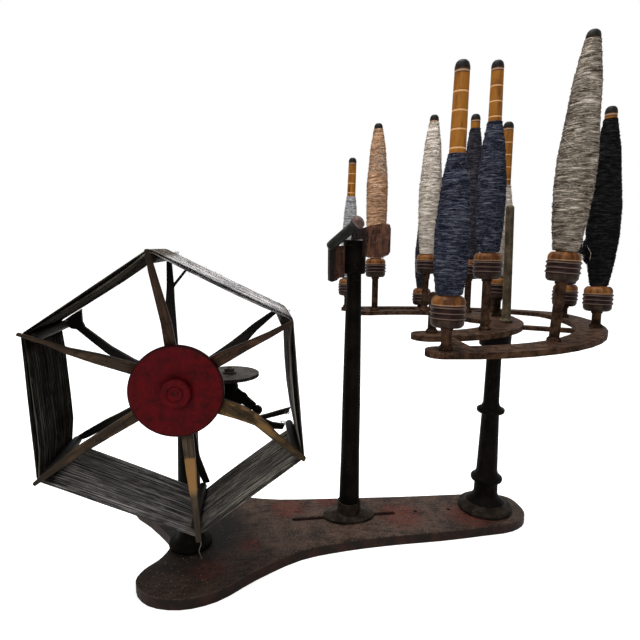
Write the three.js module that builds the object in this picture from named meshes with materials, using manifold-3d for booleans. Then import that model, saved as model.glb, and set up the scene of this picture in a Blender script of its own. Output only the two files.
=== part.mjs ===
// Table-top yarn reel with a guide post and a creel of bobbins on one board. Millimetres, +Z up.
// The origin is on the board's underside, below the creel column. +X runs along the board, away from the reel.
import * as THREE from 'three';
import { mergeVertices } from 'three/addons/utils/BufferGeometryUtils.js';
import Module from 'manifold-3d';

const wasm = await Module();
wasm.setup();

// Gap kept between pieces that touch
const GAP = 0.3;

// Board: one plank, narrow under the creel and lobed under the reel
const BOARD_THICKNESS = 12.5;
const BOARD_OUTLINE = [
  [ 48.5, 0 ], [ 44.3, 20.6 ], [ 22.5, 33.5 ], [ - 16, 36 ], [ - 109, 40 ], [ - 188, 46 ], [ - 267, 52 ],
  [ - 310, 63.5 ], [ - 345, 80 ], [ - 385, 95 ], [ - 425, 95 ], [ - 452, 75 ], [ - 453, 54 ],
  [ - 430, 25 ], [ - 410, - 3 ], [ - 400, - 20 ], [ - 396, - 38 ], [ - 399, - 51 ], [ - 405, - 63 ],
  [ - 417, - 77 ], [ - 422, - 95 ], [ - 406.4, - 117 ], [ - 375, - 127 ], [ - 340, - 120 ], [ - 301, - 92.6 ], [ - 250, - 64.7 ],
  [ - 196, - 54.2 ], [ - 135, - 49.7 ], [ - 79, - 48.7 ], [ - 25, - 45 ], [ 18.5, - 40 ], [ 43.3, - 23.8 ]
];
const SLOT_START = - 255;
const SLOT_END = - 122;
const SLOT_WIDTH = 7.5;
const TRACK_WIDTH = 22;
const TRACK_DEPTH = 6.5;
const BOARD_HOLES = [ - 95, - 50 ];
const BOARD_HOLE_RADIUS = 2.6;

// Reel: six arms of two spokes each on a turned hub, its axis along Y
const SHAFT_X = - 374;
const SHAFT_Z = 213.8;
const ARM_ANGLES = [ - 6.4, 55.5, 116.4, 171.9, 239.4, 297.1 ];
const BAND_RADIUS = 129.5;
const BAND_CORNERS = [ 133.6, 129.6, 131.8, 131.6, 133.8, 134 ];
const BAND_WALL = 2.5;
const BAND_FRONT = - 140.5;
const BAND_BACK = - 56;
const BAND_CORNER = 3;
const HUB_RADIUS = 44.3;
const HUB_FRONT = - 113;
const HUB_EDGE = 6;
const HUB_BACK = - 61;
const DRUM_RADIUS = 13;
const REAR_FLANGE_RADIUS = 30;
const KNOB_RADIUS = 14.4;
const KNOB_LENGTH = 8;
const SPOKE_ROOT = 15.6;
const FRONT_SPOKE_START = - 81;
const FRONT_SPOKE_LEAN = - 0.5;
const REAR_SPOKE_START = - 78;
const REAR_SPOKE_LEAN = 0.2;
const SPOKE_THICKNESS = 8;
const SPOKE_TIP_THICKNESS = 3.4;
// Hand-cut spokes. Each station is [ distance from the shaft, sideways shift, width ].
const FRONT_SPOKES = [
  [ [ 16, 0, 10.5 ], [ 44.2, - 0.5, 10.4 ], [ 66.2, 0.8, 9.4 ], [ 87.2, 0.3, 7.8 ], [ 113.2, - 0.3, 6.4 ], [ 133, - 0.2, 3.8 ] ],
  [ [ 16, 0, 11.5 ], [ 44.4, - 1.5, 12.4 ], [ 55.4, - 1.1, 12 ], [ 78.3, 0.3, 8.2 ], [ 103.3, 2, 5.8 ], [ 127.3, 2.4, 3.8 ] ],
  [ [ 16, 0, 12 ], [ 44.2, - 1.6, 15 ], [ 62.2, - 6.6, 14 ], [ 79.1, - 8.7, 10.2 ], [ 103.2, - 4.1, 7.5 ], [ 131, - 1, 4.6 ] ],
  [ [ 16, 0, 11 ], [ 47.7, - 1.8, 11 ], [ 75.7, - 2, 9.6 ], [ 97.7, - 2.2, 6.6 ], [ 118.7, - 2.8, 6 ], [ 132.5, - 2.4, 4.5 ] ],
  [ [ 16, 0, 11 ], [ 46.7, - 1.2, 11 ], [ 67.7, 0.5, 9.8 ], [ 91.7, 2, 8.6 ], [ 105.7, 1.8, 7.9 ], [ 133, 0.2, 3.4 ] ],
  [ [ 16, 0, 11 ], [ 47.8, 1, 11.2 ], [ 75.8, 0.6, 9.8 ], [ 97.8, 0, 6 ], [ 113.8, 1.5, 3.6 ], [ 134.2, 1.8, 3 ] ]
];
const REAR_SPOKES = [
  [ [ 16, - 1, 9 ], [ 37.2, - 3.4, 9.4 ], [ 59.2, - 2.3, 9 ], [ 80.2, - 1.4, 8.8 ], [ 95.2, 0.4, 7.2 ], [ 122.2, 2.1, 5 ] ],
  [ [ 16, 0, 9 ], [ 40.3, 0.7, 9.6 ], [ 61.3, 1.5, 10 ], [ 75.3, 1.1, 10.2 ], [ 90.3, - 1.1, 8 ], [ 106.4, - 1.6, 6 ], [ 119.4, - 2.1, 4.4 ] ],
  [ [ 16, 0, 9 ], [ 48.2, 5, 9 ], [ 63.2, 5.4, 9 ], [ 79.3, 7.8, 8.8 ], [ 95.3, 9.7, 8 ], [ 106.3, 10.1, 7.4 ], [ 120.3, 6.6, 6.5 ] ],
  [ [ 16, 0, 9 ], [ 49.7, 0.2, 9 ], [ 71.7, 0.6, 8 ], [ 87.7, 1, 7.2 ], [ 109.7, - 1.9, 7.6 ], [ 121.6, - 3.9, 6.8 ] ],
  [ [ 16, 0, 9 ], [ 51.7, - 2, 9 ], [ 73.7, - 1.5, 8.8 ], [ 89.7, - 0.6, 8.6 ], [ 115.7, - 0.3, 7.2 ], [ 125.7, 0, 5.4 ] ],
  [ [ 16, - 4, 8.4 ], [ 51.8, - 5.6, 8.4 ], [ 76.8, - 4.5, 8.2 ], [ 96.8, - 1, 7.8 ], [ 114.8, 2.3, 7 ], [ 125.8, 1.4, 5.6 ] ]
];
// Side branches of three rear spokes, from fork to end: [ distance from the shaft, sideways shift, width ]
const REAR_BRANCHES = [
  { spoke: 0, path: [ [ 92.2, 0.4, 4 ], [ 109.9, 17.7, 3.4 ] ] },
  { spoke: 2, path: [ [ 90.3, 7, 5.4 ], [ 98.2, 1.4, 6 ], [ 105.2, - 3.9, 6.8 ], [ 117, - 12.8, 7.2 ] ] },
  { spoke: 5, path: [ [ 109.3, 3, 5 ], [ 113.2, 3.9, 9 ], [ 117.7, 6.9, 18.6 ], [ 119.3, 8.2, 22.4 ], [ 124.8, 3.8, 13 ], [ 129.3, - 0.8, 5 ] ] }
];
const RAIL_RADIUS = 4.2;
const RAIL_FRONT = - 135.5;
const RAIL_BACK = - 57.5;

// Shaft, worm and revolution counter
const SHAFT_RADIUS = 5;
const SHAFT_FRONT = - 119;
const SHAFT_BACK = 2;
const WORM_Y = - 30;
const WORM_RADIUS = 11.8;
const WORM_THREAD = 0.9;
const WORM_LENGTH = 22;
const WHEEL_TEETH = 80;
const WHEEL_RADIUS = 32.8;
const WHEEL_TOOTH = 1.5;
const WHEEL_THICKNESS = 3.6;
const WHEEL_X = SHAFT_X + 46;
const WHEEL_Z = SHAFT_Z - 5.4;

// Reel stand: turned pillar with a forked bearing bracket on top
const PILLAR_Y = - 35;
const PILLAR_FOOT_RADIUS = 24;
const FORK_WIDTH = 26;
const FORK_FLOOR = SHAFT_Z - 19;
const FORK_FLOOR_THICKNESS = 8;
const CHEEK_THICKNESS = 6;
const CHEEK_SPAN = 36;
const BEARING_CLEARANCE = 0.3;
// The lug hangs from the bracket's arm through a ball, towards the knob at its end
const LUG_BALL = [ - 314.5, - 30, 181 ];
const LUG_TURN = 130.7;
const LUG_REACH = 16.85;
// A web under the arm, [ X, Z ], ties the arm to the ball
const LUG_WEB = [ [ - 352, 188 ], [ - 320, 190 ], [ - 309, 180 ], [ - 312, 175.5 ], [ - 318, 175.5 ] ];

// Guide post, which slides along the board's slot
const POST_X = - 182.7;
const POST_RADIUS = 12.6;
const POST_TOP_RADIUS = 8.5;
const POST_TOP = 357;
const POST_FOOT_LENGTH = 66;
const POST_FOOT_WIDTH = 42;
const POST_FOOT_HEIGHT = 21;
const COLLAR_BOTTOM = 319;
const COLLAR_TOP = 358;
const COLLAR_RADIUS = 13.2;

// Creel: two concentric open rings of cast iron, joined by spokes, on a turned column
const CREEL_X = - 111;
const CREEL_Y = 3;
const CREEL_TOP = 267.3;
const CREEL_THICKNESS = 5.4;
const OUTER_RING = { x: 6, inner: 176, outer: 205.5, start: - 102, end: 102.5 };
const INNER_RING = { x: 0, inner: 94, outer: 129, start: - 99, end: 103 };
// The inner ring widens to a round pad over the column's head
const CREEL_PAD = { x: - 12, y: 1, radius: 32 };
const CREEL_SPOKE_ANGLES = [ - 92.5, - 35, 35, 96 ];
const CREEL_SPOKE_WIDTH = 9;
const CREEL_SAG = 0.06;
const CREEL_SAG_START = 20;
// The casting tips down towards the reel, about this X, and less and less behind the column
const CREEL_TILT = 0.0135;
const CREEL_TILT_START = 20;
const CREEL_TILT_FADE = 0.0035;
const COLUMN_FOOT_RADIUS = 34.5;
const ROD_RADIUS = 4.5;
const ROD_LENGTH = 131;

// Pegs: foot on the plate, height of the bobbin's foot over the level of the plate, lean towards +X and +Y in degrees
const BOBBIN_PEGS = {
  outer_1: { foot: [ - 143, - 185.9 ], height: 17.4, lean: [ 0.7, 0.3 ] },
  outer_2: { foot: [ - 30.5, - 163.9 ], height: 54.5, lean: [ 2.35, - 1 ] },
  outer_3: { foot: [ 64, - 95 ], height: 18.3, lean: [ - 0.55, 1 ] },
  outer_4: { foot: [ 76.5, - 19.8 ], height: 15, lean: [ 0, 0 ] },
  outer_6: { foot: [ - 33, 181.5 ], height: - 6.6, lean: [ 0.3, 0 ] },
  outer_7: { foot: [ - 152, 192.1 ], height: 7.7, lean: [ 1.1, - 0.3 ] },
  inner_2: { foot: [ - 63.5, - 95 ], height: 52.3, lean: [ - 0.75, - 0.3 ] },
  inner_4: { foot: [ 0.4, 1.3 ], height: 22, lean: [ 0, 0 ] },
  inner_5: { foot: [ - 15, 52.7 ], height: 43, lean: [ - 0.5, 0.2 ] },
  inner_6: { foot: [ - 61.5, 89.9 ], height: 48, lean: [ 0.3, - 0.9 ] },
  inner_7: { foot: [ - 126.6, 115.4 ], height: 41.2, lean: [ - 0.3, 0.3 ] }
};
const EMPTY_PEGS = [
  { foot: [ 48.2, 110.4 ], height: 45, lean: [ 0, 0 ] },
  { foot: [ - 124.2, - 104.2 ], height: 40, lean: [ 0, 0 ] }
];
const ROD = { foot: [ - 15, - 50.5 ], lean: [ - 1.9, 0 ] };
const PEG_RADIUS = 3.9;
const PEG_SHOWN_RADIUS = 4.6;
const PEG_COLLAR_RADIUS = 5.6;
const PEG_FOOT_RADIUS = 6.4;
const PEG_IN_BOBBIN = 60;

// Bobbins: turned wood, ringed at the foot and metal-tipped. Yarn runs from start to end, up from the foot.
const BOBBIN_LENGTH = 210;
const BOBBIN_BORE = 4.4;
const BOBBIN_RING_RADIUS = 15;
const BOBBIN_SHOULDER = 26;
const SHAFT_FOOT_RADIUS = 7.9;
const SHAFT_TIP_RADIUS = 5.8;
// Low is the radius at the start, as a share of the greatest.
const YARNS = {
  outer_1: { start: 26.5, end: 139, peak: 80, radius: 14.9, low: 0.76, colour: 0x4a5670 },
  outer_2: { start: 26.5, end: 201.5, peak: 105, radius: 16.8, low: 0.66, colour: 0x8d887c },
  outer_3: { start: 26.5, end: 197, peak: 110, radius: 16.8, low: 0.56, colour: 0x1c1f27 },
  outer_4: { start: 26.5, end: 150, peak: 85, radius: 15, low: 0.76, colour: 0x35373d },
  outer_6: { start: 26.5, end: 150, peak: 85, radius: 13.5, low: 0.64, colour: 0x35373d },
  outer_7: { start: 26.5, end: 152, peak: 80, radius: 13, low: 0.76, colour: 0x7f8c9a },
  inner_2: { start: 26.5, end: 153, peak: 95, radius: 14.6, low: 0.76, colour: 0x4c5a72 },
  inner_4: { start: 26.5, end: 136, peak: 75, radius: 13.2, low: 0.76, colour: 0xa39a8a },
  inner_5: { start: 26.5, end: 192, peak: 95, radius: 15.4, low: 0.76, colour: 0x3a3947 },
  inner_6: { start: 26.5, end: 200, peak: 115, radius: 15.8, low: 0.68, colour: 0xa9a69c },
  inner_7: { start: 26.5, end: 201.5, peak: 128, radius: 15.2, low: 0.76, colour: 0xb08d70 }
};

const finishes = {
  board: { color: 0x2f211b, roughness: 0.85, metalness: 0 },
  redPaint: { color: 0x6e1f26, roughness: 0.6, metalness: 0 },
  wood: { color: 0x8a6a45, roughness: 0.7, metalness: 0 },
  darkWood: { color: 0x5c3a2a, roughness: 0.75, metalness: 0 },
  blackIron: { color: 0x1d1c1c, roughness: 0.7, metalness: 0.6 },
  rustyIron: { color: 0x4a352c, roughness: 0.85, metalness: 0.4 },
  steel: { color: 0x8c8a84, roughness: 0.45, metalness: 0.9 },
  thread: { color: 0x6a6d75, roughness: 0.95, metalness: 0 }
};
const part = new THREE.Group();

function finish( name ) {

  return new THREE.MeshStandardMaterial( finishes[ name ] );

}

// Welds a geometry into one closed mesh: shared corners merged, collapsed faces dropped, faces outwards
function weld( geometry ) {

  const bare = new THREE.BufferGeometry();
  bare.setAttribute( 'position', geometry.attributes.position );
  if ( geometry.index ) bare.setIndex( geometry.index );
  const merged = mergeVertices( bare, 1e-4 );
  const old = merged.index.array;
  const kept = [];
  let volume = 0;
  const a = new THREE.Vector3();
  const b = new THREE.Vector3();
  const c = new THREE.Vector3();
  for ( let i = 0; i < old.length; i += 3 ) {

    const [ p, q, r ] = [ old[ i ], old[ i + 1 ], old[ i + 2 ] ];
    if ( p === q || q === r || r === p ) continue;
    kept.push( p, q, r );
    a.fromBufferAttribute( merged.attributes.position, p );
    b.fromBufferAttribute( merged.attributes.position, q );
    c.fromBufferAttribute( merged.attributes.position, r );
    volume += a.dot( b.cross( c ) );

  }

  if ( volume < 0 ) kept.reverse();
  merged.setIndex( kept );
  return merged;

}

function toSolid( geometry ) {

  const closed = weld( geometry );
  return new wasm.Manifold( new wasm.Mesh( {
    numProp: 3,
    vertProperties: new Float32Array( closed.attributes.position.array ),
    triVerts: new Uint32Array( closed.index.array )
  } ) );

}

function toGeometry( solid ) {

  const mesh = solid.getMesh();
  const geometry = new THREE.BufferGeometry();
  geometry.setAttribute( 'position', new THREE.BufferAttribute( mesh.vertProperties, 3 ) );
  geometry.setIndex( new THREE.BufferAttribute( mesh.triVerts, 1 ) );
  return geometry;

}

function join( ...geometries ) {

  return toGeometry( geometries.map( toSolid ).reduce( ( whole, piece ) => whole.add( piece ) ) );

}

function cut( geometry, ...tools ) {

  return toGeometry( tools.map( toSolid ).reduce( ( whole, tool ) => whole.subtract( tool ), toSolid( geometry ) ) );

}

// Turned piece: profile of [ radius, height ] spun round Z
function turned( profile, sides ) {

  const points = profile.map( ( [ radius, height ] ) => new THREE.Vector2( radius, height ) );
  return new THREE.LatheGeometry( points, sides ).rotateX( Math.PI / 2 );

}

// Turned piece that lies along Y, heights growing towards +Y
function turnedAlongY( profile, sides ) {

  return turned( profile, sides ).rotateX( - Math.PI / 2 );

}

function disc( radius, bottom, top, sides ) {

  return turned( [ [ 0, bottom ], [ radius, bottom ], [ radius, top ], [ 0, top ] ], sides );

}

function plate( shape, bottom, thickness, curveSegments = 12 ) {

  return new THREE.ExtrudeGeometry( shape, { depth: thickness, bevelEnabled: false, curveSegments } )
    .translate( 0, 0, bottom );

}

function outline( points ) {

  return new THREE.Shape( points.map( ( [ x, y ] ) => new THREE.Vector2( x, y ) ) );

}

function box( low, high ) {

  const size = high.map( ( value, i ) => value - low[ i ] );
  return new THREE.BoxGeometry( ...size ).translate( ...low.map( ( value, i ) => value + size[ i ] / 2 ) );

}

function addPiece( name, geometry, material ) {

  const mesh = new THREE.Mesh( weld( geometry ), material );
  mesh.name = name;
  part.add( mesh );
  return mesh;

}

function radians( degrees ) {

  return THREE.MathUtils.degToRad( degrees );

}

// Board
function longSlot( width, bottom, top ) {

  const half = width / 2;
  const shape = new THREE.Shape();
  shape.absarc( SLOT_END - half, 0, half, - Math.PI / 2, Math.PI / 2, false );
  shape.absarc( SLOT_START + half, 0, half, Math.PI / 2, Math.PI * 1.5, false );
  return plate( shape, bottom, top - bottom, 5 );

}

function makeBoard() {

  const edge = new THREE.CatmullRomCurve3(
    BOARD_OUTLINE.map( ( [ x, y ] ) => new THREE.Vector3( x, y, 0 ) ), true );
  const shape = outline( edge.getPoints( BOARD_OUTLINE.length * 3 ).slice( 0, - 1 ).map( ( p ) => [ p.x, p.y ] ) );
  const holes = BOARD_HOLES.map( ( x ) =>
    disc( BOARD_HOLE_RADIUS, - 1, BOARD_THICKNESS + 1, 12 ).translate( x, 0, 0 ) );
  const slot = longSlot( SLOT_WIDTH, - 1, BOARD_THICKNESS + 1 );
  const track = longSlot( TRACK_WIDTH, - 1, TRACK_DEPTH );
  addPiece( 'base_board', cut( plate( shape, 0, BOARD_THICKNESS ), slot, track, ...holes ), finish( 'board' ) );

}

// Reel arms: spokes taper from the hub to the rim and lean to the front or the back
function tapered( stations, start, lean ) {

  const steps = stations.length - 1;
  const bar = new THREE.BoxGeometry( 1, 1, steps, 1, 1, steps ).translate( 0, 0, steps / 2 );
  const place = bar.attributes.position;
  for ( let i = 0; i < place.count; i ++ ) {

    const [ reach, shift, width ] = stations[ Math.round( place.getZ( i ) ) ];
    const share = ( reach - SPOKE_ROOT ) / ( BAND_RADIUS - SPOKE_ROOT );
    const thickness = THREE.MathUtils.lerp( SPOKE_THICKNESS, SPOKE_TIP_THICKNESS, share );
    place.setXYZ( i, shift + place.getX( i ) * width, start + lean * reach + place.getY( i ) * thickness, reach );

  }

  return bar;

}

function makeSpoke( name, angle, stations, start, lean, branches = [] ) {

  const bars = [ stations, ...branches ].map( ( path ) => tapered( path, start, lean ) );
  const spoke = bars.length > 1 ? join( ...bars ) : bars[ 0 ];
  spoke.rotateY( radians( angle ) ).translate( SHAFT_X, 0, SHAFT_Z );
  addPiece( name, spoke, finish( 'wood' ) );

}

function makeRail( name, angle, corner ) {

  const inside = corner - BAND_WALL / Math.cos( Math.PI / 6 );
  const radius = inside - ( RAIL_RADIUS + 3 * GAP ) / Math.cos( Math.PI / 6 );
  const rail = new THREE.CylinderGeometry( RAIL_RADIUS, RAIL_RADIUS, RAIL_BACK - RAIL_FRONT, 10 );
  rail.translate( 0, ( RAIL_FRONT + RAIL_BACK ) / 2, 0 );
  rail.translate( SHAFT_X + radius * Math.sin( radians( angle ) ), 0, SHAFT_Z + radius * Math.cos( radians( angle ) ) );
  addPiece( name, rail, finish( 'wood' ) );

}

// Hexagon with a corner over each arm, rounded by short curves
function hexagon( inset, back, length ) {

  const corners = ARM_ANGLES.map( ( angle, i ) => new THREE.Vector2(
    Math.sin( radians( angle ) ), Math.cos( radians( angle ) ) ).multiplyScalar( BAND_CORNERS[ i ] - inset ) );
  const points = corners.flatMap( ( corner, i ) => {

    const toward = ( other ) => corner.clone().add( other.clone().sub( corner ).setLength( BAND_CORNER ) );
    const curve = new THREE.QuadraticBezierCurve(
      toward( corners[ ( i + 5 ) % 6 ] ), corner, toward( corners[ ( i + 1 ) % 6 ] ) );
    return curve.getPoints( 4 ).map( ( p ) => [ p.x, p.y ] );

  } ).reverse();
  return plate( outline( points ), 0, length ).rotateX( Math.PI / 2 ).translate( SHAFT_X, back, SHAFT_Z );

}

function makeBand() {

  const length = BAND_BACK - BAND_FRONT;
  const wall = BAND_WALL / Math.cos( Math.PI / 6 );
  const band = cut( hexagon( 0, BAND_BACK, length ), hexagon( wall, BAND_BACK + 5, length + 10 ) );
  addPiece( 'reel_yarn', band, finish( 'thread' ) );

}

function makeHub() {

  const frontSeat = ( radius ) => FRONT_SPOKE_START + FRONT_SPOKE_LEAN * radius - SPOKE_THICKNESS / 2 - GAP;
  const rearSeat = ( radius ) => REAR_SPOKE_START + REAR_SPOKE_LEAN * radius + SPOKE_THICKNESS / 2 + GAP;
  const bore = SHAFT_RADIUS + GAP;
  const hub = turnedAlongY( [
    [ bore, HUB_BACK ], [ bore, HUB_FRONT ], [ HUB_RADIUS - 1.5, HUB_FRONT ], [ HUB_RADIUS, HUB_FRONT + 1.5 ],
    [ HUB_RADIUS, HUB_FRONT + HUB_EDGE ], [ DRUM_RADIUS, frontSeat( DRUM_RADIUS ) ],
    [ DRUM_RADIUS, rearSeat( DRUM_RADIUS ) ], [ REAR_FLANGE_RADIUS, rearSeat( REAR_FLANGE_RADIUS ) ],
    [ REAR_FLANGE_RADIUS, HUB_BACK ], [ bore, HUB_BACK ]
  ], 36 );
  addPiece( 'reel_hub', hub.translate( SHAFT_X, 0, SHAFT_Z ), finish( 'redPaint' ) );

  const back = HUB_FRONT - GAP;
  const front = back - KNOB_LENGTH;
  const knob = turnedAlongY( [
    [ bore, back ], [ bore, SHAFT_FRONT - GAP ], [ 2, SHAFT_FRONT - GAP ], [ 2, front ], [ 6.5, front ],
    [ 7, front + 0.8 ], [ 8, front + 0.8 ], [ 8.6, front ], [ KNOB_RADIUS - 1.5, front ],
    [ KNOB_RADIUS, front + 1.5 ], [ KNOB_RADIUS, back ], [ bore, back ]
  ], 24 );
  addPiece( 'hub_knob', knob.translate( SHAFT_X, 0, SHAFT_Z ), finish( 'redPaint' ) );

}

// The worm is cut in the shaft: one thread that climbs a tooth of the wheel in each turn
function makeShaft() {

  const pitch = 2 * Math.PI * ( WHEEL_RADIUS - WHEEL_TOOTH / 2 ) / WHEEL_TEETH;
  const worm = new THREE.CylinderGeometry( WORM_RADIUS, WORM_RADIUS, WORM_LENGTH, 14, 36 );
  const place = worm.attributes.position;
  for ( let i = 0; i < place.count; i ++ ) {

    const [ x, y, z ] = [ place.getX( i ), place.getY( i ), place.getZ( i ) ];
    const radius = Math.hypot( x, z );
    if ( radius < 1 ) continue;
    const wave = Math.cos( 2 * Math.PI * y / pitch + Math.atan2( z, x ) );
    const grown = 1 + WORM_THREAD * wave / radius;
    place.setX( i, x * grown );
    place.setZ( i, z * grown );

  }

  worm.translate( 0, WORM_Y, 0 );
  const shaft = turnedAlongY( [
    [ 0, SHAFT_FRONT ], [ SHAFT_RADIUS, SHAFT_FRONT ], [ SHAFT_RADIUS, SHAFT_BACK - 1 ],
    [ SHAFT_RADIUS - 1, SHAFT_BACK ], [ 0, SHAFT_BACK ]
  ], 16 );
  addPiece( 'reel_shaft', join( shaft, worm ).translate( SHAFT_X, 0, SHAFT_Z ), finish( 'steel' ) );

}

// Count wheel: a toothed disc on an upright stud beside the worm
function makeCountWheel() {

  const root = WHEEL_RADIUS - WHEEL_TOOTH;
  const step = 2 * Math.PI / WHEEL_TEETH;
  const points = [];
  for ( let tooth = 0; tooth < WHEEL_TEETH; tooth ++ ) {

    for ( const [ radius, share ] of [ [ WHEEL_RADIUS, 0 ], [ root, 0.5 ] ] ) {

      const at = ( tooth + share ) * step;
      points.push( [ radius * Math.cos( at ), radius * Math.sin( at ) ] );

    }

  }

  const shape = outline( points );
  shape.holes.push( new THREE.Path().absarc( 0, 0, 3.4, 0, 2 * Math.PI, true ) );
  const wheel = plate( shape, - WHEEL_THICKNESS / 2, WHEEL_THICKNESS, 6 );
  addPiece( 'count_wheel', wheel.translate( WHEEL_X, WORM_Y, WHEEL_Z ), finish( 'steel' ) );

  const under = - WHEEL_THICKNESS / 2 - GAP;
  const over = WHEEL_THICKNESS / 2 + GAP;
  const stud = join(
    turned( [ [ 0, - 14 ], [ 3, - 14 ], [ 3, under - 2 ], [ 6.5, under - 2 ], [ 6.5, under ], [ 3, under ],
      [ 3, over ], [ 7.5, over ], [ 7.5, over + 1.2 ], [ 3, over + 1.2 ], [ 3, over + 7 ], [ 0, over + 7.6 ] ], 12 ),
    disc( 5.6, over + 1.2, over + 5.2, 6 ) );
  addPiece( 'wheel_stud', stud.translate( WHEEL_X, WORM_Y, WHEEL_Z ), finish( 'steel' ) );

}

function makeReelStand() {

  const floorBottom = FORK_FLOOR - FORK_FLOOR_THICKNESS;
  const top = BOARD_THICKNESS + GAP;
  const pillar = turned( [
    [ 0, top ], [ PILLAR_FOOT_RADIUS, top ], [ PILLAR_FOOT_RADIUS, top + 4 ], [ PILLAR_FOOT_RADIUS - 3, top + 5.5 ],
    [ 17.5, top + 6.5 ], [ 15.4, top + 9 ], [ 13.8, top + 16 ], [ 13, top + 30 ], [ 12.2, top + 75 ],
    [ 11.1, top + 127 ], [ 10, floorBottom - 12 ], [ 13.2, floorBottom - 9 ], [ 13.2, floorBottom - 4 ],
    [ 10.4, floorBottom - 3 ], [ 10.4, floorBottom - GAP ], [ 0, floorBottom - GAP ]
  ], 20 );
  addPiece( 'reel_pillar', pillar.translate( SHAFT_X, PILLAR_Y, 0 ), finish( 'blackIron' ) );

  const halfSpan = CHEEK_SPAN / 2;
  const half = FORK_WIDTH / 2;
  const cheek = new THREE.Shape();
  cheek.moveTo( - half, floorBottom - SHAFT_Z );
  cheek.lineTo( half, floorBottom - SHAFT_Z );
  cheek.lineTo( half, 0 );
  cheek.absarc( 0, 0, half, 0, Math.PI, false );
  cheek.closePath();
  cheek.holes.push( new THREE.Path().absarc( 0, 0, SHAFT_RADIUS + BEARING_CLEARANCE, 0, 2 * Math.PI, true ) );
  const cheeks = [ WORM_Y - halfSpan, WORM_Y + halfSpan + CHEEK_THICKNESS ].map( ( back ) =>
    plate( cheek, 0, CHEEK_THICKNESS, 8 ).rotateX( Math.PI / 2 ).translate( SHAFT_X, back, SHAFT_Z ) );
  const floor = box(
    [ SHAFT_X - half, WORM_Y - halfSpan - CHEEK_THICKNESS, floorBottom ],
    [ SHAFT_X + half, WORM_Y + halfSpan + CHEEK_THICKNESS, FORK_FLOOR ] );
  const arm = box( [ SHAFT_X + half - 1, WORM_Y - 7, floorBottom ], [ WHEEL_X, WORM_Y + 7, FORK_FLOOR - 1 ] );
  const boss = turned( [
    [ 0, floorBottom ], [ 8.6, floorBottom ], [ 9.8, FORK_FLOOR ], [ 7, WHEEL_Z - 5.5 ], [ 0, WHEEL_Z - 5.5 ]
  ], 14 ).translate( WHEEL_X, WORM_Y, 0 );
  const studHole = disc( 3 + GAP, WHEEL_Z - 15, WHEEL_Z, 12 ).translate( WHEEL_X, WORM_Y, 0 );
  const lug = new THREE.CylinderGeometry( 5, 6.5, LUG_REACH + 14, 12 ).rotateX( Math.PI / 2 )
    .translate( 0, 0, ( LUG_REACH - 14 ) / 2 ).rotateY( radians( LUG_TURN ) ).translate( ...LUG_BALL );
  const ball = new THREE.SphereGeometry( 7, 14, 8 ).translate( ...LUG_BALL );
  const web = plate( outline( LUG_WEB ), 0, 12 ).rotateX( Math.PI / 2 ).translate( 0, WORM_Y + 6, 0 );
  addPiece( 'bearing_fork', cut( join( floor, ...cheeks, arm, boss, lug, ball, web ), studHole ), finish( 'blackIron' ) );

  const knob = turned( [
    [ 0, 0 ], [ 3.2, 0 ], [ 3.6, 0.8 ], [ 5, 2.6 ], [ 5.6, 5.4 ], [ 4.9, 8.4 ], [ 3, 10.4 ], [ 0, 11 ]
  ], 14 ).translate( 0, 0, LUG_REACH + GAP ).rotateY( radians( LUG_TURN ) ).translate( ...LUG_BALL );
  addPiece( 'bracket_knob', knob, finish( 'blackIron' ) );

}

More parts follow.
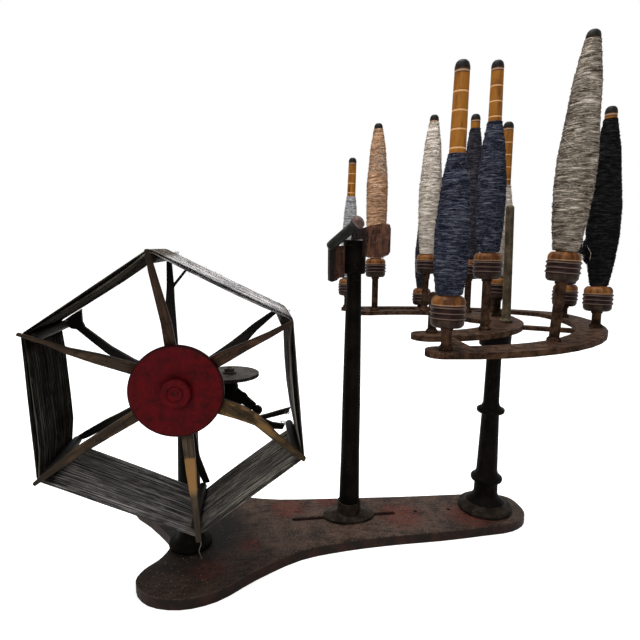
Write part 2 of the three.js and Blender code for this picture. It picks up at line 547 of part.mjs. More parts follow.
// Guide post: an oval foot on the slot, a rod, and a head of two slotted leaves and a bar
function makeGuidePost() {

  const seat = BOARD_THICKNESS + GAP;
  const half = POST_FOOT_LENGTH / 2;
  const flare = turned( [
    [ 0, seat ], [ half, seat ], [ half, seat + 3 ], [ half * 0.8, seat + 4.5 ], [ half * 0.5, seat + 8 ],
    [ half * 0.38, seat + 15 ], [ half * 0.35, seat + POST_FOOT_HEIGHT ], [ 0, seat + POST_FOOT_HEIGHT ]
  ], 14 ).scale( 1, POST_FOOT_WIDTH / POST_FOOT_LENGTH, 1 );
  const sleeve = disc( POST_RADIUS + 2, seat, seat + POST_FOOT_HEIGHT, 16 );
  const hole = disc( POST_RADIUS + GAP, seat + 4, seat + 40, 16 );
  const boltHole = disc( 3.6, 0, seat + 8, 10 );
  addPiece( 'post_foot', cut( join( flare, sleeve ), hole, boltHole ).translate( POST_X, 0, 0 ), finish( 'blackIron' ) );

  const post = turned( [
    [ 0, seat + 4 + GAP ], [ POST_RADIUS, seat + 4 + GAP ], [ 12.3, 50 ], [ 11.4, 97 ], [ 11, 160 ], [ 10.2, 223 ], [ 9.9, 248 ],
    [ 8.8, 303 ], [ POST_TOP_RADIUS, COLLAR_BOTTOM - 4 ], [ POST_TOP_RADIUS, POST_TOP - 2 ], [ 0, POST_TOP - 2 ]
  ], 16 );
  const socket = disc( 3.6, seat, seat + 24, 10 );
  addPiece( 'guide_post', cut( post, socket ).translate( POST_X, 0, 0 ), finish( 'blackIron' ) );

  const clampTop = TRACK_DEPTH - GAP;
  const clamp = join(
    box( [ - 9, - TRACK_WIDTH / 2 + 1, clampTop - 3.5 ], [ 9, TRACK_WIDTH / 2 - 1, clampTop ] ),
    disc( 3.2, clampTop - 4, seat + 20, 10 ) );
  addPiece( 'post_clamp', clamp.translate( POST_X, 0, 0 ), finish( 'steel' ) );

  const bore = POST_TOP_RADIUS + GAP;
  const collar = turned( [
    [ bore, COLLAR_BOTTOM ], [ COLLAR_RADIUS - 1, COLLAR_BOTTOM ], [ COLLAR_RADIUS, COLLAR_BOTTOM + 2 ],
    [ COLLAR_RADIUS, COLLAR_TOP - 3 ], [ COLLAR_RADIUS + 0.6, COLLAR_TOP - 2.6 ], [ COLLAR_RADIUS + 0.6, COLLAR_TOP ],
    [ 0, COLLAR_TOP ], [ 0, POST_TOP - 2 + GAP ], [ bore, POST_TOP - 2 + GAP ], [ bore, COLLAR_BOTTOM ]
  ], 16 );
  addPiece( 'guide_collar', collar.translate( POST_X, 0, 0 ), finish( 'blackIron' ) );

}

// Guide leaves stand on edge. Each outline is [ distance from the post, height over the collar's foot ].
const COMB_TURN = - 58;
const LEAF_THICKNESS = 5;
const COMB_OUTLINE = [
  [ 15, 20.5 ], [ 24.6, 19.7 ], [ 43, 20.1 ], [ 50, 22.5 ], [ 52, 30 ], [ 52, 52 ], [ 47.4, 57.1 ], [ 27.9, 55.4 ],
  [ 17, 52.9 ], [ 5.8, 51.4 ], [ - 3.2, 47.3 ], [ - 4, 39.3 ], [ 15, 39.3 ]
];
const GATE_TURN = 197;
const GATE_OUTLINE = [
  [ 14.1, - 3.8 ], [ 20.5, - 4.6 ], [ 24.4, - 7.6 ], [ 30.1, - 9.1 ], [ 33.4, - 7.4 ], [ 33.8, 29.1 ], [ 33, 32 ], [ 14.1, 32.5 ]
];

// Windows are [ left, bottom, width, height ]. A depth of 1 goes through, and 0.5 stops half-way in from the low side.
function leaf( points, windows, depth ) {

  const half = LEAF_THICKNESS / 2;
  const reach = depth * LEAF_THICKNESS + ( depth < 1 ? 0 : 1 );
  const tools = windows.map( ( [ left, bottom, width, height ] ) =>
    box( [ left, bottom, - half - 1 ], [ left + width, bottom + height, reach - half ] ) );
  return cut( plate( outline( points ), - half, LEAF_THICKNESS ), ...tools );

}

function standLeaf( geometry, turn ) {

  return geometry.rotateX( Math.PI / 2 ).rotateZ( radians( turn ) ).translate( POST_X, 0, COLLAR_BOTTOM );

}

// The bar lies across the gate's top corner. Grown, it is the tool that cuts its saddle.
function guideBar( grown ) {

  return turned( [
    [ 0, - grown ], [ 3.6 + grown, 0.4 - grown ], [ 5.2 + grown, 2 - grown ], [ 5.7 + grown, 6 ], [ 5.7 + grown, 38 ],
    [ 6.6 + grown, 40 ], [ 7.6 + grown, 43 ], [ 7.8 + grown, 46 ], [ 6.8 + grown, 49 ], [ 4.4 + grown, 51 + grown ],
    [ 0, 51.6 + grown ]
  ], 12 ).rotateY( radians( 52.4 ) ).rotateZ( radians( - 37.9 ) ).translate( - 215.6, - 12.6, 348.8 );

}

function makeGuideHead() {

  const slots = [
    [ - 2.2, 43, 1.6, 4 ], [ 4.5, 43, 1.6, 4 ], [ 13.3, 43, 1.6, 4 ], [ 21.2, 42.6, 2.6, 5.9 ], [ 30.1, 45, 2.6, 4.9 ],
    [ 39.5, 46.2, 2.6, 4 ], [ 21.9, 36.6, 2.6, 4.1 ]
  ];
  const comb = standLeaf( leaf( COMB_OUTLINE, slots, 1 ), COMB_TURN );
  const rim = turned( [ [ 0, 22.5 ], [ 3.2, 23.2 ], [ 4.8, 26.5 ], [ 4.8, 51 ], [ 3.4, 55.6 ], [ 0, 57 ] ], 12 )
    .translate( 49.2, 0, 0 ).rotateZ( radians( COMB_TURN ) ).translate( POST_X, 0, COLLAR_BOTTOM );
  addPiece( 'guide_comb', join( comb, rim ), finish( 'darkWood' ) );

  const recesses = [ [ 17, 9.8, 6.8, 14.3 ], [ 22.3, - 2.5, 8, 6.2 ] ];
  const gate = standLeaf( leaf( GATE_OUTLINE, recesses, 0.5 ), GATE_TURN );
  addPiece( 'guide_gate', cut( gate, guideBar( GAP ) ), finish( 'darkWood' ) );
  addPiece( 'guide_bar', guideBar( 0 ), finish( 'blackIron' ) );

}

// Creel
function ringShape( { inner, outer, start, end } ) {

  const middle = ( inner + outer ) / 2;
  const half = ( outer - inner ) / 2;
  const [ from, to ] = [ radians( start ), radians( end ) ];
  const shape = new THREE.Shape();
  shape.absarc( 0, 0, outer, from, to, false );
  shape.absarc( middle * Math.cos( to ), middle * Math.sin( to ), half, to, to + Math.PI, false );
  shape.absarc( 0, 0, inner, to, from, true );
  shape.absarc( middle * Math.cos( from ), middle * Math.sin( from ), half, from + Math.PI, from + 2 * Math.PI, false );
  return shape;

}

function sagAt( y ) {

  return CREEL_SAG * Math.max( 0, y - CREEL_SAG_START );

}

function tiltAt( x, y ) {

  return CREEL_TILT * ( x - CREEL_TILT_START ) * ( 1 - CREEL_TILT_FADE * Math.max( 0, y - CREEL_SAG_START ) );

}

function plateTop( [ x, y ] ) {

  return CREEL_TOP - sagAt( y ) + tiltAt( x, y );

}

// Height of a bobbin's foot over the plate itself
function riseOf( { foot, height } ) {

  return height + sagAt( foot[ 1 ] ) - tiltAt( ...foot );

}

// Leans an upright piece about its foot and stands it on the plate
function stand( geometry, { foot, lean } ) {

  return geometry.rotateY( radians( lean[ 0 ] ) ).rotateX( - radians( lean[ 1 ] ) )
    .translate( foot[ 0 ], foot[ 1 ], plateTop( foot ) );

}

// A peg rises from a round foot on the plate to a collar under the bobbin, and on into the bobbin's bore
function peg( spec, collared ) {

  const rise = riseOf( spec );
  const top = collared ? rise + PEG_IN_BOBBIN : rise;
  const foot = Math.min( 2.4, rise - GAP );
  const shown = rise > 9 ? PEG_SHOWN_RADIUS : PEG_RADIUS;
  const collar = [
    [ PEG_SHOWN_RADIUS, rise - 3 ], [ PEG_COLLAR_RADIUS, rise - 2.4 ], [ PEG_COLLAR_RADIUS, rise - GAP ], [ PEG_RADIUS, rise - GAP ]
  ];
  return stand( turned( [
    [ 0, - 2 ], [ PEG_FOOT_RADIUS, - 2 ], [ PEG_FOOT_RADIUS, foot ],
    ...( rise > 9 ? [ [ PEG_FOOT_RADIUS - 1.2, 3.8 ], [ PEG_SHOWN_RADIUS, 4.4 ] ] : [ [ PEG_RADIUS, foot ] ] ),
    ...( collared && rise > 9 ? collar : [] ), [ ( collared ? PEG_RADIUS : shown ) - 0.4, top - 1.5 ], [ 0, top ]
  ], 8 ), spec );

}

function makeCreel() {

  const bottom = CREEL_TOP - CREEL_THICKNESS;
  const spokes = CREEL_SPOKE_ANGLES.map( ( angle ) =>
    box( [ INNER_RING.outer - 4, - CREEL_SPOKE_WIDTH / 2, bottom + 0.5 ],
      [ OUTER_RING.inner + 4, CREEL_SPOKE_WIDTH / 2, CREEL_TOP - 0.5 ] ).rotateZ( radians( angle ) ) );
  const rings = [ OUTER_RING, INNER_RING ].map( ( ring ) =>
    plate( ringShape( ring ), bottom, CREEL_THICKNESS, 14 ).translate( ring.x, 0, 0 ) );
  const pad = disc( CREEL_PAD.radius, bottom, CREEL_TOP, 28 ).translate( CREEL_PAD.x - CREEL_X, CREEL_PAD.y - CREEL_Y, 0 );
  const level = toSolid( join( ...rings, ...spokes, pad ).translate( CREEL_X, CREEL_Y, 0 ) );
  const nearSide = toSolid( box( [ - 500, - 500, 0 ], [ 500, CREEL_SAG_START, 500 ] ) );
  const halves = [ level.intersect( nearSide ), level.subtract( nearSide ) ].map( toGeometry );
  for ( const { attributes: { position } } of halves ) {

    for ( let i = 0; i < position.count; i ++ )
      position.setZ( i, position.getZ( i ) - sagAt( position.getY( i ) ) + tiltAt( position.getX( i ), position.getY( i ) ) );

  }

  const pegs = [
    ...Object.values( BOBBIN_PEGS ).map( ( spec ) => peg( spec, true ) ),
    ...EMPTY_PEGS.map( ( spec ) => peg( spec, false ) )
  ];
  addPiece( 'creel_frame', join( ...halves, ...pegs ), finish( 'rustyIron' ) );

  const rod = turned( [
    [ 0, GAP ], [ PEG_FOOT_RADIUS + 1, GAP ], [ PEG_FOOT_RADIUS + 1, 3 ], [ ROD_RADIUS + 0.4, 5 ],
    [ ROD_RADIUS, ROD_LENGTH - 2 ], [ ROD_RADIUS - 1.5, ROD_LENGTH ], [ 0, ROD_LENGTH ]
  ], 12 );
  addPiece( 'creel_rod', stand( rod, ROD ).translate( 0, 0, 0.3 ), finish( 'steel' ) );

  const base = BOARD_THICKNESS + GAP;
  const head = bottom + tiltAt( - 20, 0 ) - GAP;
  const column = turned( [
    [ 0, base ], [ COLUMN_FOOT_RADIUS, base ], [ COLUMN_FOOT_RADIUS, base + 4 ], [ COLUMN_FOOT_RADIUS - 2, base + 6 ],
    [ 27, base + 7 ], [ 24, base + 11 ], [ 17, base + 17 ], [ 14.8, base + 22 ], [ 14.6, base + 36.5 ], [ 19.5, base + 39.5 ],
    [ 19.8, base + 43.5 ], [ 15, base + 46.5 ], [ 13, base + 52.5 ], [ 10.8, base + 128 ], [ 17, base + 131 ],
    [ 17.4, base + 135 ], [ 12, base + 138 ], [ 9.8, base + 143 ], [ 8.9, base + 212 ], [ 13, base + 215 ],
    [ 19, base + 218 ], [ 19.4, base + 235 ], [ 19.4, head ], [ 0, head ]
  ], 24 );
  addPiece( 'creel_column', column, finish( 'blackIron' ) );

}

// Bobbins
function shaftRadius( height ) {

  const share = ( height - BOBBIN_SHOULDER ) / ( BOBBIN_LENGTH - BOBBIN_SHOULDER );
  return THREE.MathUtils.lerp( SHAFT_FOOT_RADIUS, SHAFT_TIP_RADIUS, share );

}

function makeBobbin( name, spec ) {

  const rise = riseOf( spec );
  const ring = BOBBIN_RING_RADIUS;
  const groove = ring - 1.2;
  const wood = turned( [
    [ 0, PEG_IN_BOBBIN + 6 ], [ BOBBIN_BORE, PEG_IN_BOBBIN + 4 ], [ BOBBIN_BORE, 0 ], [ 11.4, 0 ], [ 13.7, 2.6 ],
    [ 13.9, 6.6 ], [ ring, 7.2 ], [ ring, 8.8 ], [ groove, 10 ], [ groove, 11 ], [ ring, 11.8 ], [ ring, 13.2 ], [ groove, 14.2 ],
    [ groove, 15.4 ], [ ring, 16.2 ], [ ring, 17.6 ], [ 13.7, 18.4 ], [ 13.6, 22.4 ], [ 11, BOBBIN_SHOULDER ], [ shaftRadius( 26 ), BOBBIN_SHOULDER ],
    [ shaftRadius( 202 ), 202 ], [ 6, 202.4 ], [ 5.6, 206.5 ], [ 3.4, 209.4 ], [ 0, BOBBIN_LENGTH ]
  ], 12 );
  addPiece( `${ name }_bobbin`, stand( wood.translate( 0, 0, rise ), spec ), finish( 'wood' ) );

  const { start, end, peak, radius, low: share, colour } = YARNS[ name ];
  const low = radius * share;
  const high = shaftRadius( end ) + 0.9;
  const inner = ( height ) => shaftRadius( height ) + GAP;
  const yarn = turned( [
    [ inner( start ), start ], [ low, start + 0.5 ], [ ( low + radius ) / 2 + 0.8, ( start * 2 + peak ) / 3 ],
    [ radius * 0.985, ( start + peak * 2 ) / 3 ], [ radius, peak ],
    [ ( radius * 2.2 + high ) / 3.2, ( peak * 1.6 + end ) / 2.6 ],
    [ ( radius + high ) / 2, ( peak + end * 2 ) / 3 ], [ high, end ], [ inner( end ), end ], [ inner( start ), start ]
  ], 12 );
  const thread = new THREE.MeshStandardMaterial( { color: colour, roughness: 0.95, metalness: 0 } );
  addPiece( `${ name }_yarn`, stand( yarn.translate( 0, 0, rise ), spec ), thread );

}

makeBoard();
makeHub();
makeShaft();
ARM_ANGLES.forEach( ( angle, i ) => {

  const branches = REAR_BRANCHES.filter( ( branch ) => branch.spoke === i ).map( ( branch ) => branch.path );
  makeSpoke( `front_spoke_${ i + 1 }`, angle, FRONT_SPOKES[ i ], FRONT_SPOKE_START, FRONT_SPOKE_LEAN );
  makeSpoke( `rear_spoke_${ i + 1 }`, angle, REAR_SPOKES[ i ], REAR_SPOKE_START, REAR_SPOKE_LEAN, branches );
  makeRail( `reel_rail_${ i + 1 }`, angle, BAND_CORNERS[ i ] );

} );
makeBand();
makeCountWheel();
makeReelStand();
makeGuidePost();
makeGuideHead();
makeCreel();
for ( const [ name, spec ] of Object.entries( BOBBIN_PEGS ) ) makeBobbin( name, spec );

export default part;
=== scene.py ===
import math
import random

import bmesh
import bpy
from mathutils import Matrix, Vector, noise


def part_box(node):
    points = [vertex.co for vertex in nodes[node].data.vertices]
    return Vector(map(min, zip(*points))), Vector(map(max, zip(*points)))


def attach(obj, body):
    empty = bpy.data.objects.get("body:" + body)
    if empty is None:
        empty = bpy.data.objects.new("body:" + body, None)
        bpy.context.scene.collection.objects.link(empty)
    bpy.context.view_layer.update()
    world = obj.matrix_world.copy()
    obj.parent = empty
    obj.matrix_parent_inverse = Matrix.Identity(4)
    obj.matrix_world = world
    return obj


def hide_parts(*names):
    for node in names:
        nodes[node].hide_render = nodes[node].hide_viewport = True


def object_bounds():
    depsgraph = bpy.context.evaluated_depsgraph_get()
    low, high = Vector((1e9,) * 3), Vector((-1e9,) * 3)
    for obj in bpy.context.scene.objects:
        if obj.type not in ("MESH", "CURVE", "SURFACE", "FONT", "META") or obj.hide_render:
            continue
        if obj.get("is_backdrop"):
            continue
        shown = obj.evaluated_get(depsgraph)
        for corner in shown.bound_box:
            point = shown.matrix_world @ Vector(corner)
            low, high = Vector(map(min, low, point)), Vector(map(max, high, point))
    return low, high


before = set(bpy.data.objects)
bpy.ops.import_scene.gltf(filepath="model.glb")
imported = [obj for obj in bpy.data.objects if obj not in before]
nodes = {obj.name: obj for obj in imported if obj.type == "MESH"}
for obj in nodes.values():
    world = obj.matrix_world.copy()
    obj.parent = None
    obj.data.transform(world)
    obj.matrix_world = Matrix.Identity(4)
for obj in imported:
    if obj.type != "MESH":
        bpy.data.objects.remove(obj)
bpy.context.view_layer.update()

scene = bpy.context.scene
MM = 0.001


# Camera: a normal lens a little above the board, in front of the reel and looking slightly to the right.
# The picture is level to within a degree.
CAMERA_PLACE = Vector((-306.7, -574.3, 348.7)) * MM
CAMERA_YAW, CAMERA_PITCH, CAMERA_ROLL = (math.radians(angle) for angle in (8.32, 8.30, 0.73))
camera_data = bpy.data.cameras.new("view")
camera_data.sensor_width = 36
camera_data.lens = 27.85
camera_data.clip_start = 0.01
camera = bpy.data.objects.new("view", camera_data)
scene.collection.objects.link(camera)
level_right = Vector((math.cos(CAMERA_YAW), -math.sin(CAMERA_YAW), 0))
look = Vector((math.cos(CAMERA_PITCH) * math.sin(CAMERA_YAW), math.cos(CAMERA_PITCH) * math.cos(CAMERA_YAW),
               -math.sin(CAMERA_PITCH)))
level_up = level_right.cross(look)
across = math.cos(CAMERA_ROLL) * level_right + math.sin(CAMERA_ROLL) * level_up
upward = across.cross(look)
camera.matrix_world = Matrix((
    (across.x, upward.x, -look.x, CAMERA_PLACE.x),
    (across.y, upward.y, -look.y, CAMERA_PLACE.y),
    (across.z, upward.z, -look.z, CAMERA_PLACE.z),
    (0, 0, 0, 1)))
scene.camera = camera
scene.view_settings.view_transform = "Standard"


# Floor and light: a pale floor, an overhead softbox, a weak one in front and a pale surround.
# The camera sees the surround as white, and the floor as white apart from the shadow.
def softbox(name, place, aim, size, power):
    lamp = bpy.data.lights.new(name, "AREA")
    lamp.shape = "SQUARE"
    lamp.size = size
    lamp.energy = power
    holder = bpy.data.objects.new(name, lamp)
    holder.matrix_world = (
        Matrix.Translation(Vector(place)) @
        (Vector(aim) - Vector(place)).to_track_quat("-Z", "Y").to_matrix().to_4x4())
    scene.collection.objects.link(holder)


softbox("overhead", (-0.35, -0.1, 1.5), (-0.2, 0, 0.15), 0.9, 26)
softbox("front_fill", (-0.75, -1.5, 0.75), (-0.2, 0, 0.25), 0.9, 13)
softbox("rear_edge", (0.9, 1.2, 0.9), (-0.1, 0, 0.25), 0.7, 2.5)


def bright_where_seen(tree, plain, bright):
    """Picks the bright shader for camera, glossy and transmission rays, and the plain one for the rest."""
    rays = tree.nodes.new("ShaderNodeLightPath")
    share = rays.outputs["Is Camera Ray"]
    for kind in ("Is Glossy Ray", "Is Transmission Ray"):
        either = tree.nodes.new("ShaderNodeMath")
        either.operation = "MAXIMUM"
        tree.links.new(share, either.inputs[0])
        tree.links.new(rays.outputs[kind], either.inputs[1])
        share = either.outputs[0]
    choose = tree.nodes.new("ShaderNodeMixShader")
    tree.links.new(share, choose.inputs[0])
    tree.links.new(plain, choose.inputs[1])
    tree.links.new(bright, choose.inputs[2])
    return choose.outputs[0]


surround = bpy.data.worlds.new("surround")
scene.world = surround
surround.use_nodes = True
tree = surround.node_tree
ambient = tree.nodes["Background"]
ambient.inputs["Color"].default_value = (1, 0.98, 0.95, 1)
ambient.inputs["Strength"].default_value = 0.13
backdrop = tree.nodes.new("ShaderNodeBackground")
backdrop.inputs["Color"].default_value = (1, 1, 1, 1)
seen = bright_where_seen(tree, ambient.outputs[0], backdrop.outputs[0])
tree.links.new(seen, tree.nodes["World Output"].inputs["Surface"])

floor_mesh = bmesh.new()
bmesh.ops.create_grid(floor_mesh, x_segments=1, y_segments=1, size=6)
bmesh.ops.translate(floor_mesh, verts=floor_mesh.verts, vec=(0, 0, -0.0004))
floor_data = bpy.data.meshes.new("floor")
floor_mesh.to_mesh(floor_data)
floor_mesh.free()
floor = bpy.data.objects.new("floor", floor_data)
scene.collection.objects.link(floor)
pale = bpy.data.materials.new("pale_floor")
pale.use_nodes = True
tree = pale.node_tree
matt = tree.nodes["Principled BSDF"]
matt.inputs["Base Color"].default_value = (0.82, 0.82, 0.82, 1)
matt.inputs["Roughness"].default_value = 0.9
matt.inputs["Specular IOR Level"].default_value = 0.1
glow = tree.nodes.new("ShaderNodeEmission")
where = tree.nodes.new("ShaderNodeTexCoord")
away = tree.nodes.new("ShaderNodeVectorMath")
away.operation = "LENGTH"
tree.links.new(where.outputs["Object"], away.inputs[0])
with_distance = tree.nodes.new("ShaderNodeMapRange")
tree.links.new(away.outputs["Value"], with_distance.inputs["Value"])
for label, value in (("From Min", 0.55), ("From Max", 1.3), ("To Min", 0.74), ("To Max", 1.0)):
    with_distance.inputs[label].default_value = value
tree.links.new(with_distance.outputs["Result"], glow.inputs["Strength"])
together = tree.nodes.new("ShaderNodeAddShader")
tree.links.new(matt.outputs[0], together.inputs[0])
tree.links.new(glow.outputs[0], together.inputs[1])
seen = bright_where_seen(tree, matt.outputs[0], together.outputs[0])
tree.links.new(seen, tree.nodes["Material Output"].inputs["Surface"])
floor_data.materials.append(pale)
floor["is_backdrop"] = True


# Base board: one plank, sawn to a lobed outline, once painted red and now rubbed down to dark grimy wood.
# A slot for the guide post and two screw holes go through it, and its upper edge is rounded by wear.
def group_with(name, wanted, given):
    """An empty node group with value, colour or vector sockets."""
    group = bpy.data.node_groups.new(name, "ShaderNodeTree")
    kinds = {"value": "NodeSocketFloat", "colour": "NodeSocketColor", "vector": "NodeSocketVector"}
    for label, kind, start in wanted:
        socket = group.interface.new_socket(label, in_out="INPUT", socket_type=kinds[kind])
        if start is not None:
            socket.default_value = start
    for label, kind in given:
        group.interface.new_socket(label, in_out="OUTPUT", socket_type=kinds[kind])
    return group, group.nodes.new("NodeGroupInput"), group.nodes.new("NodeGroupOutput")


def wire(tree, source, target):
    tree.links.new(source, target)


def math_node(tree, operation, first, second=None, clamp=False):
    """A Math node fed by sockets or numbers; returns its result."""
    node = tree.nodes.new("ShaderNodeMath")
    node.operation = operation
    node.use_clamp = clamp
    for place, value in ((0, first), (1, second)):
        if value is None:
            continue
        if isinstance(value, (int, float)):
            node.inputs[place].default_value = value
        else:
            wire(tree, value, node.inputs[place])
    return node.outputs[0]


def times(tree, first, second):
    return math_node(tree, "MULTIPLY", first, second)


def inverse(tree, value):
    """One less the value."""
    return math_node(tree, "SUBTRACT", 1.0, value)


def off_by(tree, value, middle):
    """How far a value lies from the middle, either way."""
    return math_node(tree, "ABSOLUTE", math_node(tree, "SUBTRACT", value, middle))


def blend(tree, share, first, second, mode="MIX"):
    """A colour Mix node; first and second are sockets or colours."""
    node = tree.nodes.new("ShaderNodeMix")
    node.data_type = "RGBA"
    node.blend_type = mode
    for place, value in ((0, share), (6, first), (7, second)):
        if isinstance(value, tuple):
            node.inputs[place].default_value = (*value, 1)
        elif isinstance(value, (int, float)):
            node.inputs[place].default_value = value
        else:
            wire(tree, value, node.inputs[place])
    return node.outputs[2]


def tint(tree, colour, mask, strength, shade):
    """Covers a colour with a shade where the mask is, up to the given strength."""
    return blend(tree, times(tree, mask, strength), colour, shade)


def noise_node(tree, vector, scale, detail=3, roughness=0.55):
    node = tree.nodes.new("ShaderNodeTexNoise")
    node.inputs["Detail"].default_value = detail
    node.inputs["Roughness"].default_value = roughness
    wire(tree, vector, node.inputs["Vector"])
    if isinstance(scale, (int, float)):
        node.inputs["Scale"].default_value = scale
    else:
        wire(tree, scale, node.inputs["Scale"])
    return node.outputs[0]


def ramp(tree, value, low, high):
    """Zero below low, one above high, smooth between."""
    node = tree.nodes.new("ShaderNodeMapRange")
    node.interpolation_type = "SMOOTHSTEP"
    wire(tree, value, node.inputs["Value"])
    for label, edge in (("From Min", low), ("From Max", high)):
        if isinstance(edge, (int, float)):
            node.inputs[label].default_value = edge
        else:
            wire(tree, edge, node.inputs[label])
    return node.outputs["Result"]


def mapped(tree, vector, stretch, turn=(0, 0, 0), shift=(0, 0, 0)):
    node = tree.nodes.new("ShaderNodeMapping")
    node.inputs["Scale"].default_value = stretch
    node.inputs["Rotation"].default_value = turn
    node.inputs["Location"].default_value = shift
    wire(tree, vector, node.inputs["Vector"])
    return node.outputs[0]


# Worn patches: large soft islands with ragged edges
patches, patches_in, patches_out = group_with(
    "worn_patches",
    [("Vector", "vector", None), ("Scale", "value", 12.0), ("Amount", "value", 0.5),
     ("Ragged", "value", 0.4)],
    [("Mask", "value")])
broad = noise_node(patches, patches_in.outputs["Vector"], patches_in.outputs["Scale"], 2)
fine_scale = times(patches, patches_in.outputs["Scale"], 9.0)
ragged = noise_node(patches, patches_in.outputs["Vector"], fine_scale, 5, 0.7)
ragged = times(patches, math_node(patches, "SUBTRACT", ragged, 0.5), patches_in.outputs["Ragged"])
edge = inverse(patches, patches_in.outputs["Amount"])
islands = math_node(patches, "ADD", broad, ragged)
islands = ramp(patches, islands, edge, math_node(patches, "ADD", edge, 0.12))
wire(patches, islands, patches_out.inputs["Mask"])

# Specks: scattered pale grains of dust and lint
specks, specks_in, specks_out = group_with(
    "pale_specks",
    [("Vector", "vector", None), ("Scale", "value", 300.0), ("Size", "value", 0.2), ("Share", "value", 0.12)],
    [("Mask", "value")])
cells = specks.nodes.new("ShaderNodeTexVoronoi")
wire(specks, specks_in.outputs["Vector"], cells.inputs["Vector"])
wire(specks, specks_in.outputs["Scale"], cells.inputs["Scale"])
near = math_node(specks, "LESS_THAN", cells.outputs["Distance"], specks_in.outputs["Size"])
pick = specks.nodes.new("ShaderNodeSeparateColor")
wire(specks, cells.outputs["Color"], pick.inputs[0])
chosen = math_node(specks, "LESS_THAN", pick.outputs[0], specks_in.outputs["Share"])
wire(specks, times(specks, near, chosen), specks_out.inputs["Mask"])


def use_group(tree, group, **values):
    """Places a node group; sockets are linked, and plain values are set."""
    node = tree.nodes.new("ShaderNodeGroup")
    node.node_tree = group
    for label, value in values.items():
        socket = node.inputs[label.replace("_", " ")]
        if isinstance(value, tuple):
            socket.default_value = (*value, 1) if socket.type == "RGBA" else value
        elif isinstance(value, (int, float)):
            socket.default_value = value
        else:
            wire(tree, value, socket)
    return node


def patch_node(tree, vector, scale, amount):
    return use_group(tree, patches, Vector=vector, Scale=scale, Amount=amount, Ragged=0.7).outputs[0]


def speck_node(tree, vector, scale, size, share):
    return use_group(tree, specks, Vector=vector, Scale=scale, Size=size, Share=share).outputs[0]


def vector_node(tree, operation, vector, other=(0, 0, 0)):
    """The number that a Vector Math node gives, such as a length, distance or dot product."""
    node = tree.nodes.new("ShaderNodeVectorMath")
    node.operation = operation
    wire(tree, vector, node.inputs[0])
    node.inputs[1].default_value = other
    return node.outputs["Value"]


def spot_node(tree, vector, centre, inner, outer):
    """One within inner millimetres of a point, zero beyond outer."""
    away = vector_node(tree, "DISTANCE", vector, tuple(value * MM for value in centre))
    return inverse(tree, ramp(tree, away, inner * MM, outer * MM))


def axis_node(tree, vector, axis):
    axes = tree.nodes.new("ShaderNodeSeparateXYZ")
    wire(tree, vector, axes.inputs[0])
    return axes.outputs[axis]


def weighted(tree, *terms):
    """Sum of (socket, weight) pairs."""
    total = None
    for socket, weight in terms:
        scaled = times(tree, socket, weight)
        total = scaled if total is None else math_node(tree, "ADD", total, scaled)
    return total


def new_finish(name, roughness, metallic=0.0, specular=0.05):
    """A material and its parts: tree, shader and the piece's own coordinates."""
    material = bpy.data.materials.new(name)
    material.use_nodes = True
    tree = material.node_tree
    shader = tree.nodes["Principled BSDF"]
    shader.inputs["Roughness"].default_value = roughness
    shader.inputs["Metallic"].default_value = metallic
    shader.inputs["Specular IOR Level"].default_value = specular
    where = tree.nodes.new("ShaderNodeTexCoord")
    return material, tree, shader, where


def dress_surface(tree, shader, colour, height, distance):
    """Gives a finish its colour, and relief up to a distance in metres."""
    wire(tree, colour, shader.inputs["Base Color"])
    bump = tree.nodes.new("ShaderNodeBump")
    bump.inputs["Distance"].default_value = distance
    wire(tree, height, bump.inputs["Height"])
    wire(tree, bump.outputs[0], shader.inputs["Normal"])


BOARD_DARK, BOARD_BROWN, BOARD_RED = (0.009, 0.0062, 0.0048), (0.080, 0.050, 0.037), (0.130, 0.026, 0.017)
BOARD_SHADOW, BOARD_EDGE, BOARD_DUST = (0.004, 0.003, 0.0025), (0.028, 0.012, 0.009), (0.34, 0.30, 0.27)
BOARD_TOP = 12.5
# Where red paint is left: X, Y, and the radii within which it is whole and beyond which it is gone
RED_SPOTS = (
    (-349, -87, 10, 36), (-258, 28, 12, 44), (-205, 42, 8, 30),
    (-307, -47, 6, 26), (-117, -6, 14, 60), (-28, -17, 14, 60))
board_finish, tree, shader, where = new_finish("worn_red_board", 0.6, 0.0, 0.06)
place = where.outputs["Object"]
grain = noise_node(tree, mapped(tree, place, (60, 300, 120)), 1.0, 6, 0.75)
speckle = noise_node(tree, place, 420.0, 8, 0.85)
mottle = noise_node(tree, place, 48.0, 5, 0.7)
tone = weighted(tree, (grain, 0.25), (speckle, 0.5), (mottle, 0.25))
colour = blend(tree, ramp(tree, tone, 0.43, 0.57), BOARD_DARK, BOARD_BROWN)
red = patch_node(tree, place, 30.0, 0.46)
red = times(tree, red, 0.3)
for x, y, inner, outer in RED_SPOTS:
    red = math_node(tree, "MAXIMUM", red, spot_node(tree, place, (x, y, BOARD_TOP), inner, outer))
left = noise_node(tree, mapped(tree, place, (150, 330, 150), (0, 0, 0.4)), 1.0, 8, 0.8)
kept = ramp(tree, weighted(tree, (left, 0.5), (speckle, 0.5), (red, 0.10)), 0.565, 0.66)
colour = tint(tree, colour, kept, red, BOARD_RED)
# Painted shadow: the board under the reel and round its pillar is darkened to near black.
shadow_under_reel = spot_node(tree, place, (-380, -6, BOARD_TOP), 46, 92)
shadow_under_reel = math_node(
    tree, "MAXIMUM", shadow_under_reel, times(tree, spot_node(tree, place, (-395, -52, BOARD_TOP), 20, 60), 0.6))
colour = tint(tree, colour, shadow_under_reel, 0.93, BOARD_SHADOW)
dust = speck_node(tree, place, 380.0, 0.24, 0.2)
dusty = math_node(tree, "ADD", spot_node(tree, place, (-380, -88, BOARD_TOP), 12, 52), 0.28, clamp=True)
colour = tint(tree, colour, dust, times(tree, dusty, 0.7), BOARD_DUST)
below = inverse(tree, ramp(tree, axis_node(tree, place, 2), (BOARD_TOP - 2.1) * MM, (BOARD_TOP - 0.3) * MM))
